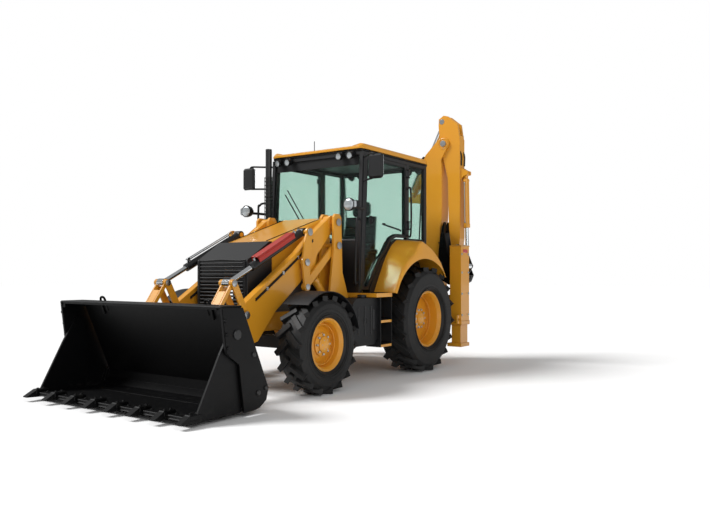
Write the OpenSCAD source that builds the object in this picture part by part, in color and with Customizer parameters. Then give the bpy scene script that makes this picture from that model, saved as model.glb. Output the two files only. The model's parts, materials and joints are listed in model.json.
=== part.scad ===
/* [Wheels] */
// Distance between the axles
wheelbase = 2200; // [2150:10:2250]
// Outer radius of a rear tyre, over its lugs
rear_tyre_r = 688; // [670:1:700]
// Width of a rear tyre
rear_tyre_w = 440; // [400:5:460]
// Distance of a rear wheel's middle from the centre line
rear_wheel_y = 900; // [890:1:920]
// Radius of a rear rim
rear_rim_r = 368; // [340:1:380]
// Outer radius of a front tyre, over its lugs
front_tyre_r = 530; // [515:1:540]
// Width of a front tyre
front_tyre_w = 330; // [310:5:350]
// Distance of a front wheel's middle from the centre line
front_wheel_y = 955; // [945:1:965]
// Radius of a front rim
front_rim_r = 285; // [260:1:290]
// Height of a tread lug
lug_h = 38; // [25:1:45]
// Lugs on each half of a tyre
lug_count = 18; // [14:1:22]
// Distance of a steering pin from the centre line
kingpin_y = 830; // [825:1:840]

/* [Frame] */
// Half width of the main frame, outside its rails
frame_half_w = 330; // [320:1:340]
// Thickness of a frame rail
rail_t = 80; // [60:5:90]
// Height of the cab floor's underside
floor_z = 1000; // [995:1:1010]
// Thickness of the cab floor
floor_t = 50; // [40:1:60]

/* [Cab] */
// Half width of the cab, outside its walls
cab_half_w = 740; // [735:1:745]
// Thickness of a cab wall, pillar or door
wall_t = 50; // [40:1:55]
// Height of the roof's underside
roof_z = 2800; // [2780:5:2820]
// Thickness of the roof
roof_t = 110; // [90:5:120]
// Thickness of a window pane
glass_t = 12; // [8:1:14]

/* [Loader] */
// Distance of an arm's middle plane from the centre line
arm_y = 500; // [498:1:502]
// Width of an arm
arm_w = 90; // [80:2:92]
// Radius of the main pins of the loader
pin_r = 30; // [26:1:32]
// Radius of the pins of the links
link_pin_r = 25; // [20:1:26]
// Radius of a cylinder's barrel
barrel_r = 45; // [40:1:48]
// Radius of a cylinder's rod
rod_r = 26; // [22:1:28]
// Overall width of the loader bucket
bucket_w = 2406; // [2380:2:2430]
// Thickness of a bucket plate
bucket_t = 22; // [16:1:26]
// Teeth on the loader bucket
tooth_count = 8; // [6:1:10]

/* [Backhoe] */
// Distance of the swing axis behind the rear axle
swing_back = 1270; // [1265:1:1290]
// Sideways place of the swing axis
swing_y = 350; // [300:10:400]
// Width of the boom
boom_w = 210; // [205:1:215]
// Width of the stick
stick_w = 150; // [140:1:152]
// Overall width of the hoe bucket
hoe_bucket_w = 406; // [390:2:410]
// Thickness of a boom or bucket plate
hoe_plate_t = 25; // [18:1:26]

/* [Stabilisers] */
// Outer face of a stabiliser's tube from the centre line
leg_out_y = 1161; // [1150:1:1180]
// Thickness of a stabiliser's tube wall
leg_wall = 18; // [14:1:24]

/* [Fits] */
// Running clearance of a pin or rod, on the radius
run_c = 0.05; // [0.02:0.01:0.09]
// Gap between sliding faces
side_gap = 3; // [2:0.5:4]
// Gap of a runner or a seat
seat_c = 0.3; // [0.2:0.05:0.4]

/* [Hidden] */
$fn = 48;
yellow = "#f0a81c";
black = "#26272a";
steel = "#b9bcc0";
glass = "#7fb5ad";

// Loader points, each as [distance ahead of the rear axle, height]
arm_pivot = [1400, 1900];
crank_pivot = [1975, 1415];
crank_top = [1920, 1760];
crank_foot = [1960, 1137];
level_pivot = arm_pivot + crank_foot - crank_pivot;
lever_pivot = [2918, 862];
lever_top = [3092, 1189];
bucket_hinge = [3240, 400];
bucket_top_pin = bucket_hinge + lever_top - lever_pivot;
lift_base = [1000, 500];
lift_eye = [1800, 1330];
clam_pivot = [3672, 749];
tooth_tip_x = 4285;

// Planes of the loader, as distances from an arm's middle plane
arm_half = arm_w / 2;
link_in = arm_half + 7;
link_out = link_in + 18;
ear_in = link_out + 4;
ear_out = ear_in + 18;
collar_r = 72;
collar_t = 34;
level_in = arm_half + 15;
level_out = level_in + 28;
crank_in = level_out + 4;
crank_out = crank_in + 25;
tower_in = -arm_half - 10;
tower_inner_t = 35;
tower_out = crank_in + 4;
tower_outer_t = 30;

// Backhoe points, each as [distance out from the swing axis, height]
foot_pin = [200, 830];
boom_ram_base = [60, 1040];
boom_ram_eye = [20, 2300];
elbow = [337, 3224];
stick_ram_base = [-260, 2420];
stick_ram_eye = [300, 3560];
curl_ram_base = [660, 2760];
curl_joint = [681, 1397];
guide_pivot = [574, 1672];
bucket_pin = [535, 1380];
bucket_link_pin = [522, 1126];
swing_r = 80;
lug_low = 560;
lug_high = 850;
lug_t = 50;

// Planes of the backhoe, as distances from the boom's middle plane
boom_out = boom_w / 2;
boom_in = boom_out - hoe_plate_t;
stick_half = stick_w / 2;
guide_in = stick_half + 5;
guide_out = guide_in + 18;
curl_in = guide_out + 2;
curl_out = curl_in + 16;
hoe_ear_in = curl_out + 4;
hoe_ear_out = hoe_ear_in + 20;
hoe_half = hoe_bucket_w / 2;

// Stabiliser tubes
leg_front_x = -801;
leg_rear_x = -1057;
leg_in_y = leg_out_y - 176;
leg_top_z = 1671;
leg_tube_z = 560;

bucket_rear_x = -swing_back - hoe_half;
mid_x = (tooth_tip_x + bucket_rear_x) / 2;

// Everything is drawn from the rear axle and moved so that the box is centred
module place() { translate([-mid_x, 0, 0]) children(); }
module both() {
  children();
  mirror([0, 1, 0]) children();
}
// A flat outline of [x, z] points, from y0 to y1
module plate_y(y0, y1, points) {
  translate([0, y1, 0]) rotate([90, 0, 0]) linear_extrude(y1 - y0) polygon(points);
}
// A flat outline of [y, z] points, from x0 to x1
module plate_x(x0, x1, points) {
  translate([x0, 0, 0]) rotate([90, 0, 90]) linear_extrude(x1 - x0) polygon(points);
}
// A round bar along Y at the point [x, z]
module bar_y(p, r, y0, y1) {
  translate([p[0], y1, p[1]]) rotate([90, 0, 0]) cylinder(r = r, h = y1 - y0);
}
// A round bar along X at the point [y, z]
module bar_x(p, r, x0, x1) {
  translate([x0, p[0], p[1]]) rotate([0, 90, 0]) cylinder(r = r, h = x1 - x0);
}
module box(low, high) { translate(low) cube(high - low); }

// A flat bar with round ends between two [x, z] points
module strap_y(a, b, r, y0, y1) {
  along = b - a;
  side = r * [-along[1], along[0]] / norm(along);
  plate_y(y0, y1, [a + side, a - side, b - side, b + side]);
  bar_y(a, r, y0, y1);
  bar_y(b, r, y0, y1);
}
// The same between two [y, z] points
module strap_x(a, b, r, x0, x1) {
  along = b - a;
  side = r * [-along[1], along[0]] / norm(along);
  plate_x(x0, x1, [a + side, a - side, b - side, b + side]);
  bar_x(a, r, x0, x1);
  bar_x(b, r, x0, x1);
}
// A round bar from one [x, z] point towards another, between two distances
module ram_y(a, b, r, from, to, y) {
  along = b - a;
  translate([a[0], y, a[1]]) rotate([0, atan2(along[0], along[1]), 0])
    translate([0, 0, from]) cylinder(r = r, h = to - from);
}
// The same from one [y, z] point towards another
module ram_x(a, b, r, from, to) {
  along = b - a;
  translate([0, a[0], a[1]]) rotate([-atan2(along[0], along[1]), 0, 0])
    translate([0, 0, from]) cylinder(r = r, h = to - from);
}

// Wheels

module tyre(r, w, rim_r) {
  carcass = r - lug_h;
  rotate([90, 0, 0]) {
    rotate_extrude() polygon([
      [rim_r, -w * 0.40], [rim_r + 26, -w * 0.47], [rim_r + 80, -w * 0.5], [carcass - 60, -w * 0.49],
      [carcass - 14, -w * 0.42], [carcass, -w * 0.22], [carcass, w * 0.22], [carcass - 14, w * 0.42],
      [carcass - 60, w * 0.49], [rim_r + 80, w * 0.5], [rim_r + 26, w * 0.47], [rim_r, w * 0.40]
    ]);
    for (i = [0:lug_count - 1]) {
      rotate([0, 0, i * 360 / lug_count]) lug(r, w, 1);
      rotate([0, 0, (i + 0.5) * 360 / lug_count]) lug(r, w, -1);
    }
  }
}
// One slanted tread bar, from the middle of the tread to its shoulder
module lug(r, w, side) {
  lug_l = w * 0.6;
  lug_w = r * 0.105;
  flat_r = sqrt(pow(r, 2) - pow(lug_l * 0.44, 2));
  translate([flat_r - lug_h - 22, 0, side * w * 0.225]) rotate([side * 42, 0, 0])
    translate([0, -lug_w / 2, -lug_l / 2]) cube([lug_h + 22, lug_w, lug_l]);
}
module rim(rim_r, w, hub_r, disc_y) {
  seat = rim_r - 0.3;
  rotate([90, 0, 0]) {
    rotate_extrude() polygon([
      [seat, -w * 0.40], [seat, w * 0.40], [seat - 22, w * 0.40], [seat - 42, w * 0.30],
      [seat - 42, -w * 0.30],
      [seat - 22, -w * 0.40]
    ]);
    rotate_extrude() polygon([
      [hub_r + run_c, disc_y - 30], [hub_r + 70, disc_y - 30], [seat - 90, disc_y - 60],
      [seat - 42, disc_y - 70],
      [seat - 42, disc_y - 40], [seat - 84, disc_y - 36], [hub_r + 80, disc_y], [hub_r + 80, disc_y + 20],
      [hub_r + 30, disc_y + 40], [hub_r + run_c, disc_y + 40]
    ]);
  }
}
module front_tyre(side) {
  color(black) place() translate([wheelbase, side * front_wheel_y, front_tyre_r])
    tyre(front_tyre_r, front_tyre_w, front_rim_r);
}
module rear_tyre(side) {
  color(black) place() translate([0, side * rear_wheel_y, rear_tyre_r])
    tyre(rear_tyre_r, rear_tyre_w, rear_rim_r);
}
spindle_r = 45;
half_shaft_r = 60;
front_disc_y = 40;
rear_disc_y = 20;
module front_rim(side) {
  color(yellow) place() translate([wheelbase, side * front_wheel_y, front_tyre_r])
    rotate([0, 0, side > 0 ? 180 : 0]) rim(front_rim_r, front_tyre_w, spindle_r, front_disc_y);
}
module rear_rim(side) {
  color(yellow) place() translate([0, side * rear_wheel_y, rear_tyre_r])
    rotate([0, 0, side > 0 ? 180 : 0]) rim(rear_rim_r, rear_tyre_w, half_shaft_r, rear_disc_y);
}
module left_front_tyre() { front_tyre(1); }
module right_front_tyre() { front_tyre(-1); }
module left_rear_tyre() { rear_tyre(1); }
module right_rear_tyre() { rear_tyre(-1); }
module left_front_rim() { front_rim(1); }
module right_front_rim() { front_rim(-1); }
module left_rear_rim() { rear_rim(1); }
module right_rear_rim() { rear_rim(-1); }

// Axles and steering

axle_half_h = 70;
axle_end_h = 148;
kingpin_r = 25;
pad_z = 650;
module front_axle() {
  z = front_tyre_r;
  color(black) place() {
    difference() {
      union() {
        box([wheelbase - 70, -700, z - axle_half_h], [wheelbase + 70, 700, z + axle_half_h]);
        both() box([wheelbase - 45, 690, z - axle_half_h], [wheelbase + 45, kingpin_y, z + axle_half_h]);
        both() translate([wheelbase, kingpin_y, z - axle_end_h / 2]) cylinder(r = 50, h = axle_end_h);
      }
      both() translate([wheelbase, kingpin_y, z - axle_end_h])
        cylinder(r = kingpin_r + run_c, h = 2 * axle_end_h);
    }
    box([wheelbase - 60, -110, z + axle_half_h], [wheelbase + 60, 110, pad_z]);
  }
}
// Fork, spindle and mudguard that turn with a front wheel
module knuckle() {
  z = front_tyre_r;
  fork = axle_end_h / 2 + side_gap;
  guard_r = front_tyre_r + 32;
  guard_in = front_wheel_y - front_tyre_w / 2 - 13;
  guard_out = front_wheel_y + front_tyre_w / 2 - 5;
  translate([wheelbase, kingpin_y, z - fork - 50]) cylinder(r = kingpin_r, h = 2 * fork + 100);
  for (up = [-1, 1]) translate([wheelbase, kingpin_y, z]) {
    low = up > 0 ? fork : -fork - 50;
    translate([0, 0, low]) cylinder(r = 55, h = 50);
    box([-45, 0, low], [45, 95, low + 50]);
  }
  box([wheelbase - 55, kingpin_y + 58, z - fork - 50], [wheelbase + 55, kingpin_y + 95, z + fork + 50]);
  bar_y([wheelbase, z], spindle_r, kingpin_y + 90, front_wheel_y + 70);
  box([wheelbase - 40, guard_in - 22, z + fork + 20], [wheelbase + 40, kingpin_y, z + fork + 50]);
  box([wheelbase - 40, guard_in - 22, z + fork + 20], [wheelbase + 40, guard_in, z + guard_r + 6]);
  box([wheelbase - 40, guard_in - 22, z + guard_r - 2], [wheelbase + 40, guard_in + 60, z + guard_r + 6]);
  translate([wheelbase, guard_out, z]) rotate([90, 0, 0]) rotate([0, 0, 50])
    rotate_extrude(angle = 116) translate([guard_r, 0]) square([8, guard_out - guard_in]);
}
module left_knuckle() { color(black) place() knuckle(); }
module right_knuckle() { color(black) place() mirror([0, 1, 0]) knuckle(); }
rear_rail_z = 840;
module rear_axle() {
  z = rear_tyre_r;
  color(black) place() {
    bar_y([0, z], 110, -640, 640);
    box([-220, -230, z - 150], [220, 230, z + 140]);
    both() {
      bar_y([0, z], 150, 600, 640);
      bar_y([0, z], half_shaft_r, 630, rear_wheel_y + 70);
      box([-90, frame_half_w - rail_t, z], [90, frame_half_w, rear_rail_z]);
    }
  }
}

// Frames

rail_low = 650;
rail_high = 850;
frame_rear_x = -780;
frame_front_x = 2560;
lash = [leg_front_x + 38, 640];
lash_r = 24;
lash_t = 30;
tower_inner_y = arm_y + tower_in;
tower_outer_y = arm_y + tower_out;
tower_points = [
  [940, 430], [1060, 430], [1190, 620], [1560, 620], [1560, 980], [1475, 1560], [1475, 1960], [1440, 2000],
  [1360, 2000], [1325, 1960], [1300, 1300], [1140, 900], [940, 600]
];
module front_frame() {
  color(yellow) place() {
    both() {
      box([500, frame_half_w - rail_t, rail_low], [frame_front_x, frame_half_w, rail_high]);
      box([frame_rear_x, frame_half_w - rail_t, rear_rail_z], [720, frame_half_w, floor_z]);
      plate_y(tower_inner_y - tower_inner_t, tower_inner_y, tower_points);
      plate_y(tower_outer_y, tower_outer_y + tower_outer_t, tower_points);
      box([1330, frame_half_w - 10, 620], [1560, tower_outer_y + 5, 690]);
      box([1330, frame_half_w - 10, 690], [1560, tower_inner_y - 10, rail_high]);
      box([1296, tower_inner_y - 10, 1150], [1322, tower_outer_y + 5, 1480]);
      for (p = [arm_pivot, level_pivot, lift_base])
        bar_y(p, pin_r, tower_inner_y - tower_inner_t - 12, tower_outer_y + tower_outer_t + 12);
    }
    box([wheelbase - 100, -frame_half_w + 10, rail_low], [wheelbase + 100, frame_half_w - 10, 700]);
    box([frame_front_x, -frame_half_w, 560], [frame_front_x + 50, frame_half_w, rail_high]);
    both() {
      strap_y([frame_front_x + 28, rail_high - 8], hood_pin, hood_pin_r - 1, hood_lug_y - hood_lug_t,
        hood_lug_y);
      bar_y(hood_pin, hood_pin_r, hood_lug_y - hood_lug_t, nose_half_w + 2);
    }
    box([1345, -frame_half_w + 10, rail_low], [1415, frame_half_w - 10, 690]);
    box([frame_rear_x, -frame_half_w, rear_rail_z], [frame_rear_x + 60, frame_half_w, floor_z]);
  }
}
shift_front_x = -845;
shift_rear_x = -905;
low_rail = [600, 720];
high_rail = [860, 980];
module rear_frame() {
  color(yellow) place() {
    for (rail = [low_rail, high_rail])
      box([shift_rear_x, -leg_in_y, rail[0]], [shift_front_x, leg_in_y, rail[1]]);
    both() {
      box([shift_front_x, 180, low_rail[0]], [frame_rear_x, frame_half_w, floor_z]);
      difference() {
        box([leg_rear_x, leg_in_y, leg_tube_z], [leg_front_x, leg_out_y, leg_top_z]);
        box([leg_rear_x + leg_wall, leg_in_y + leg_wall, leg_tube_z - 10],
            [leg_front_x - leg_wall, leg_out_y - leg_wall, leg_top_z - leg_wall]);
      }
      difference() {
        box([leg_front_x - 5, leg_out_y - 16 - lash_t, lash[1] - 60],
          [lash[0] + 36, leg_out_y - 16, lash[1] + 60]);
        bar_y(lash, lash_r, leg_out_y - 17 - lash_t, leg_out_y - 15);
      }
    }
  }
}
module leg() {
  gap = leg_wall + seat_c;
  box([leg_rear_x + gap, leg_in_y + gap, 300], [leg_front_x - gap, leg_out_y - gap, leg_top_z - 200]);
  box([leg_rear_x - 5, leg_in_y - 40, 250], [leg_front_x + 5, leg_out_y, 300]);
}
module left_leg() { color(yellow) place() leg(); }
module right_leg() { color(yellow) place() mirror([0, 1, 0]) leg(); }
module engine_block() {
  color(steel) place() {
    box([1340, -240, 700], [2280, 240, 1440]);
    box([220, -200, 560], [1340, 200, 830]);
  }
}

// Nose and hood

hood_half_w = 375;
hood_t = 25;
hood_rear = [1290, 1972];
hood_front = [2305, 1645];
nose_front_x = 2690;
nose_top_z = 1434;
hood_low_z = 1230;
hood_pin = [2640, 880];
hood_pin_r = 14;
hood_lug_y = 335;
hood_lug_t = 20;
nose_half_w = 387;
module hood() {
  color(yellow) place() {
    plate_y(-hood_half_w, hood_half_w, [hood_rear, hood_front, hood_front - [0, hood_t],
      hood_rear - [0, hood_t]]);
    both() plate_y(hood_half_w - hood_t, hood_half_w, [hood_rear, hood_front, [hood_front[0], hood_low_z],
      [hood_rear[0] + 140, hood_low_z], [hood_rear[0], 1500]]);
  }
}
louvre_count = 13;
module nose_grille() {
  w = nose_half_w;
  wall = 30;
  x0 = hood_front[0] + seat_c;
  color(black) place() {
    difference() {
      plate_y(-w, w, [[x0, rail_high], [x0, hood_front[1]], [x0 + 40, hood_front[1]],
        [nose_front_x, nose_top_z],
        [nose_front_x, rail_high]]);
      plate_y(-w + wall, w - wall, [[x0 - 1, rail_high - 1], [x0 - 1, hood_front[1] - wall],
        [x0 + 36, hood_front[1] - wall], [nose_front_x - wall, nose_top_z - wall],
        [nose_front_x - wall, rail_high - 1]]);
      for (i = [0:louvre_count - 1])
        box([nose_front_x - wall - 1, -w + 50, 900 + i * 38], [nose_front_x + 1, w - 50, 916 + i * 38]);
      both() bar_y(hood_pin, hood_pin_r + run_c, w - wall - 1, w + 1);
    }
    both() box([x0 + 10, frame_half_w - 40, rail_high + seat_c],
      [frame_front_x - 20, w - 5, rail_high + 14]);
  }
}

// Tanks, floor and steps

tank_x = [1035, wheelbase - front_tyre_r - 125];
tank_cut = 0.13 * (tank_x[1] - tank_x[0]);
tank_y = [660, 950];
tank_z = [435, 994];
module side_tanks() {
  color(black) place() both() {
    plate_y(tank_y[0], tank_y[1], [[tank_x[0], tank_z[0] + 60], [tank_x[0] + tank_cut, tank_z[0]],
      [tank_x[1] - tank_cut, tank_z[0]], [tank_x[1], tank_z[0] + 80], [tank_x[1], tank_z[1] - 60],
      [tank_x[1] - tank_cut, tank_z[1]], [tank_x[0], tank_z[1]]]);
    box([tank_x[1] - 3 * tank_cut, tower_outer_y + tower_outer_t + seat_c, 720],
        [tank_x[1] - tank_cut, tank_y[0] + 5, 860]);
    for (x = [step_x[0], step_x[1] - step_t - seat_c])
      box([x, step_y[0], step_z[0]], [x + step_t, step_y[1], floor_z - seat_c]);
  }
}
step_x = [775, 1035];
step_y = [790, 1000];
step_z = [395, 690];
step_t = 12;
arch_in_y = cab_half_w - 90;
arch_front_x = 770;
module cab_floor() {
  color(yellow) place() {
    box([cab_rear_x, -arch_in_y, floor_z], [1120, arch_in_y, floor_z + floor_t]);
    box([arch_front_x, -cab_half_w, floor_z], [1120, cab_half_w, floor_z + floor_t]);
    both() {
      box([arch_front_x, cab_half_w - 5, floor_z], [1120, step_y[1], floor_z + floor_t]);
      for (z = step_z) box([step_x[0] + step_t + seat_c, step_y[0], z],
        [step_x[1] - step_t - 2 * seat_c, step_y[1], z + 30]);
    }
  }
}

// Cab

sill_z = floor_z + floor_t;
pillar_lean = 0.0523;
function pillar_x(z) = 1120 - pillar_lean * (z - sill_z);
cab_rear_x = -560;
post_x = [-75, -15];
belt_z = 1745;
screen_z = 1700;
rear_screen_z = 1500;
door_front_gap = 6;
door_hinge_z = [1900, 2600];
door_pin_r = 8;
pillar_w = 60;
side_panel_t = 25;
wall_points = [
  [cab_rear_x, sill_z], [870, sill_z], [870, 1110], [787, 1240], [648, 1428], [495, 1545], [366, 1703],
  [245, belt_z],
  [cab_rear_x, belt_z]
];
module cab_frame() {
  inner = cab_half_w - wall_t;
  color(black) place() {
    both() {
      plate_y(inner, cab_half_w, [[pillar_x(sill_z) - pillar_w, sill_z], [pillar_x(sill_z), sill_z],
        [pillar_x(roof_z), roof_z], [pillar_x(roof_z) - pillar_w, roof_z]]);
      box([post_x[0], inner, belt_z - 5], [post_x[1], cab_half_w, roof_z]);
      box([cab_rear_x, inner, belt_z - 5], [cab_rear_x + 60, cab_half_w, roof_z]);
      plate_y(arch_in_y - side_panel_t, arch_in_y, wall_points);
      difference() {
        plate_y(arch_in_y - 5, cab_half_w, wall_points);
        bar_y([0, rear_tyre_r], arch_r, arch_in_y, cab_half_w + 1);
      }
      for (z = door_hinge_z) {
        translate([door_axis[0], door_axis[1], z - 15]) cylinder(r = door_pin_r, h = 100);
        for (up = [-25, 75]) box([-62, cab_half_w - 5, z + up], [-26, door_axis[1] + 10, z + up + 20]);
      }
      box([cab_rear_x, inner, roof_z - 40], [pillar_x(roof_z), cab_half_w, roof_z]);
    }
    plate_y(-inner - 5, inner + 5, [[pillar_x(sill_z) - 40, sill_z], [pillar_x(sill_z), sill_z],
      [pillar_x(screen_z), screen_z], [pillar_x(screen_z) - 40, screen_z]]);
    box([cab_rear_x, 5 - arch_in_y, sill_z], [cab_rear_x + 40, arch_in_y - 5, rear_screen_z]);
    box([cab_rear_x, -inner - 5, roof_z - 40], [cab_rear_x + 40, inner + 5, roof_z]);
    plate_y(-inner - 5, inner + 5, [[pillar_x(roof_z - 40) - 50, roof_z - 40],
      [pillar_x(roof_z - 40), roof_z - 40],
      [pillar_x(roof_z), roof_z], [pillar_x(roof_z) - 50, roof_z]]);
  }
}
module cab_roof() {
  top = roof_z + roof_t;
  color(yellow) place() {
    plate_y(-cab_half_w, cab_half_w, [[-630, roof_z], [1042, roof_z], [1056, roof_z + 45], [1000, top],
      [-480, top], [-630, top - 40]]);
    translate([950, -85, top - 5]) cylinder(r = 6, h = 110);
  }
}
module cab_glass() {
  inner = cab_half_w - wall_t;
  back = 30;
  color(glass) place() {
    plate_y(-inner, inner, [[pillar_x(screen_z) - back - glass_t, screen_z],
      [pillar_x(screen_z) - back, screen_z],
      [pillar_x(roof_z - 40) - back, roof_z - 40], [pillar_x(roof_z - 40) - back - glass_t, roof_z - 40]]);
    low = arch_in_y - side_panel_t - seat_c;
    box([cab_rear_x + 14, -low, rear_screen_z], [cab_rear_x + 14 + glass_t, low, belt_z + 1]);
    box([cab_rear_x + 14, -inner, belt_z], [cab_rear_x + 14 + glass_t, inner, roof_z - 40]);
    both() box([cab_rear_x + 60, inner + 20, belt_z], [post_x[0], inner + 20 + glass_t, roof_z - 40]);
  }
}
// Outline of a door, and of its window when it is drawn inwards by a margin
function door_points(m) = [
  [890 + m, sill_z + 35 + m], [pillar_x(sill_z + 35) - pillar_w - door_front_gap - m, sill_z + 35 + m],
  [pillar_x(roof_z - 46) - pillar_w - door_front_gap - m, roof_z - 46 - m],
  [post_x[1] + 6 + m, roof_z - 46 - m], [post_x[1] + 6 + m, belt_z + 20 + m],
  [250 + m / 2, belt_z + 20 + m],
  [380 + m * 0.7, 1720 + m * 0.8], [510 + m * 0.7, 1560 + m * 0.75], [665 + m * 0.75, 1440 + m * 0.7],
  [805 + m * 0.85, 1250 + m * 0.6], [890 + m, 1120 + m * 0.6]
];
door_rail = 38;
door_axis = [-40, cab_half_w + 18];
module door_leaf() {
  inner = cab_half_w - wall_t;
  difference() {
    plate_y(inner, cab_half_w, door_points(0));
    plate_y(inner - 1, cab_half_w + 1, door_points(door_rail));
  }
  for (z = door_hinge_z) difference() {
    union() {
      translate([door_axis[0], door_axis[1], z]) cylinder(r = 12, h = 70);
      box([door_axis[0], cab_half_w + 6, z], [40, cab_half_w + 18, z + 70]);
      box([2, cab_half_w - 5, z], [40, cab_half_w + 10, z + 70]);
    }
    translate([door_axis[0], door_axis[1], z - 1]) cylinder(r = door_pin_r + run_c, h = 72);
  }
}
module door_pane() {
  inner = cab_half_w - wall_t;
  plate_y(inner + 20, inner + 20 + glass_t, door_points(door_rail + 0.3));
}
module left_door() { color(black) place() door_leaf(); }
module left_door_glass() { color(glass) place() door_pane(); }
module right_door() { color(black) place() mirror([0, 1, 0]) door_leaf(); }
module right_door_glass() { color(glass) place() mirror([0, 1, 0]) door_pane(); }
arch_r = 750;
guard_out_y = 1095;
guard_middle = [70, 680];
guard_r = 795;
module rear_fenders() {
  color(yellow) place() both() difference() {
    plate_y(cab_half_w, guard_out_y, [[-540, 1160], [-490, 1260], [-324, 1458], [-116, 1603], [84, 1690],
      [200, 1715], [373, 1550], [558, 1422], [714, 1237], [801, 1101], [830, sill_z + seat_c],
      [700, sill_z + seat_c], [-400, 1100]]);
    bar_y(guard_middle, guard_r, cab_half_w - 1, guard_out_y + 1);
  }
}
module seat() {
  color(black) place() {
    box([90, -160, sill_z], [390, 160, sill_z + 330]);
    plate_y(-250, 250, [[40, 1380], [520, 1380], [540, 1440], [500, 1480], [60, 1470]]);
    plate_y(-240, 240, [[20, 1400], [110, 1440], [30, 2080], [-40, 2080]]);
    both() box([60, 255, 1560], [400, 320, 1610]);
    both() box([60, 240, 1440], [120, 300, 1570]);
  }
}
module console() {
  color(black) place() {
    plate_y(-180, 180, [[820, sill_z], [1000, sill_z], [960, 1560], [840, 1640], [760, 1600]]);
    translate([790, 0, 1600]) rotate([0, -28, 0]) {
      cylinder(r = 32, h = 160);
      translate([0, 0, 150]) rotate_extrude() translate([190, 0]) circle(r = 15);
      for (a = [0, 120, 240]) rotate([0, 0, a]) translate([0, -12, 142]) cube([182, 24, 14]);
    }
    both() box([-250, 420, sill_z], [150, 600, 1500]);
  }
}
stack = [1165, -690];
module exhaust() {
  color(black) place() {
    difference() {
      translate([stack[0], stack[1], 1250]) cylinder(r = 42, h = 1690);
      translate([stack[0], stack[1], 2600]) cylinder(r = 36, h = 400);
      translate([stack[0] - 80, stack[1] - 80, 2905]) rotate([0, -25, 0]) cube([300, 160, 200]);
    }
    for (z = [1500, 1900]) box([pillar_x(z) + seat_c, stack[1] - 20, z], [stack[0], stack[1] + 20, z + 40]);
    box([1120 + seat_c, stack[1] - 50, 1050], [stack[0] + 60, stack[1] + 50, 1260]);
    box([1120 + seat_c, stack[1] - 50, 1010], [stack[0] + 60, stack[1] + 50, 1060]);
  }
}
mirror_at = [1182, 1031, 2567];
lamp_at = [1416, 826, 2101];
module mirrors_and_lamps() {
  color(black) place() {
    both() {
      translate(mirror_at) box([-25, -85, -180], [25, 85, 180]);
      for (z = [2440, 2690])
        strap_z([pillar_x(z) - 25, cab_half_w + 14 + seat_c], [mirror_at[0], mirror_at[1] - 60],
          14, z, z + 28);
      translate(lamp_at) rotate([0, 90, 0]) cylinder(r = 66, h = 110, center = true);
      strap_z([pillar_x(2080) - 25, cab_half_w + 18 + seat_c], [lamp_at[0], lamp_at[1] - 30],
        18, 2060, 2096);
      box([pillar_x(roof_z - 40) + seat_c, 520, roof_z - 130],
        [pillar_x(roof_z) + 72, 660, roof_z - seat_c]);
    }
  }
}
// A flat bar with round ends between two [x, y] points
module strap_z(a, b, r, z0, z1) {
  along = b - a;
  side = r * [-along[1], along[0]] / norm(along);
  translate([0, 0, z0]) linear_extrude(z1 - z0) polygon([a + side, a - side, b - side, b + side]);
  translate([a[0], a[1], z0]) cylinder(r = r, h = z1 - z0);
  translate([b[0], b[1], z0]) cylinder(r = r, h = z1 - z0);
}

// Loader

module loader_arms() {
  color(yellow) place() {
    both() difference() {
      union() {
        plate_y(arm_y - arm_half, arm_y + arm_half, [[1430, 1975], [1800, 1720], [2050, 1520], [2880, 985],
          [2990, 900], [3060, 780], [3280, 455], [3180, 360], [3170, 440], [3060, 560], [2830, 545],
          [2700, 575],
          [2420, 880], [2000, 1190], [1700, 1500], [1350, 1840]]);
        bar_y(arm_pivot, 85, arm_y - arm_half, arm_y + arm_half);
        bar_y(bucket_hinge, 72, arm_y - arm_half, arm_y + arm_half);
        bar_y(lever_pivot, 75, arm_y - arm_half, arm_y + arm_half);
        bar_y(crank_pivot, pin_r, arm_y, arm_y + crank_out + 10);
        for (e = [[-arm_half, -arm_half + 18], [arm_half - 18, arm_half]])
          plate_y(arm_y + e[0], arm_y + e[1], [[1880, 1330], [1800, 1285], [1745, 1320], [1700, 1505],
            [2000, 1200]]);
      }
      for (p = [arm_pivot, bucket_hinge, lever_pivot])
        bar_y(p, pin_r + run_c, arm_y - arm_half - 1, arm_y + arm_half + 1);
      bar_y(lift_eye, 110, arm_y - arm_half + 18, arm_y + arm_half - 18);
    }
    bar_y([2850, 700], 62, -arm_y, arm_y);
  }
}
module bellcranks() {
  color(yellow) place() both() difference() {
    union() {
      plate_y(arm_y + crank_in, arm_y + crank_out, [[1890, 1760], [1950, 1800], [2010, 1640], [2045, 1415],
        [2000, 1110], [1920, 1110], [1905, 1415], [1880, 1640]]);
      bar_y(crank_pivot, 75, arm_y + crank_in, arm_y + crank_out);
      bar_y(crank_top, 55, arm_y + crank_in, arm_y + crank_out);
      bar_y(crank_foot, 50, arm_y + crank_in, arm_y + crank_out);
      bar_y(crank_foot, link_pin_r, arm_y + level_in - 6, arm_y + crank_in + 5);
      bar_y(crank_top, pin_r, arm_y - arm_half - 8, arm_y + crank_in + 5);
    }
    bar_y(crank_pivot, pin_r + run_c, arm_y + crank_in - 1, arm_y + crank_out + 1);
  }
}
module level_links() {
  color(yellow) place() both() difference() {
    strap_y(level_pivot, crank_foot, 45, arm_y + level_in, arm_y + level_out);
    bar_y(level_pivot, pin_r + run_c, arm_y + level_in - 1, arm_y + level_out + 1);
    bar_y(crank_foot, link_pin_r + run_c, arm_y + level_in - 1, arm_y + level_out + 1);
  }
}
module lever_pins() {
  color(steel) place() both() bar_y(lever_pivot, pin_r, arm_y - ear_out - 4, arm_y + ear_out + 4);
}
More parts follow.
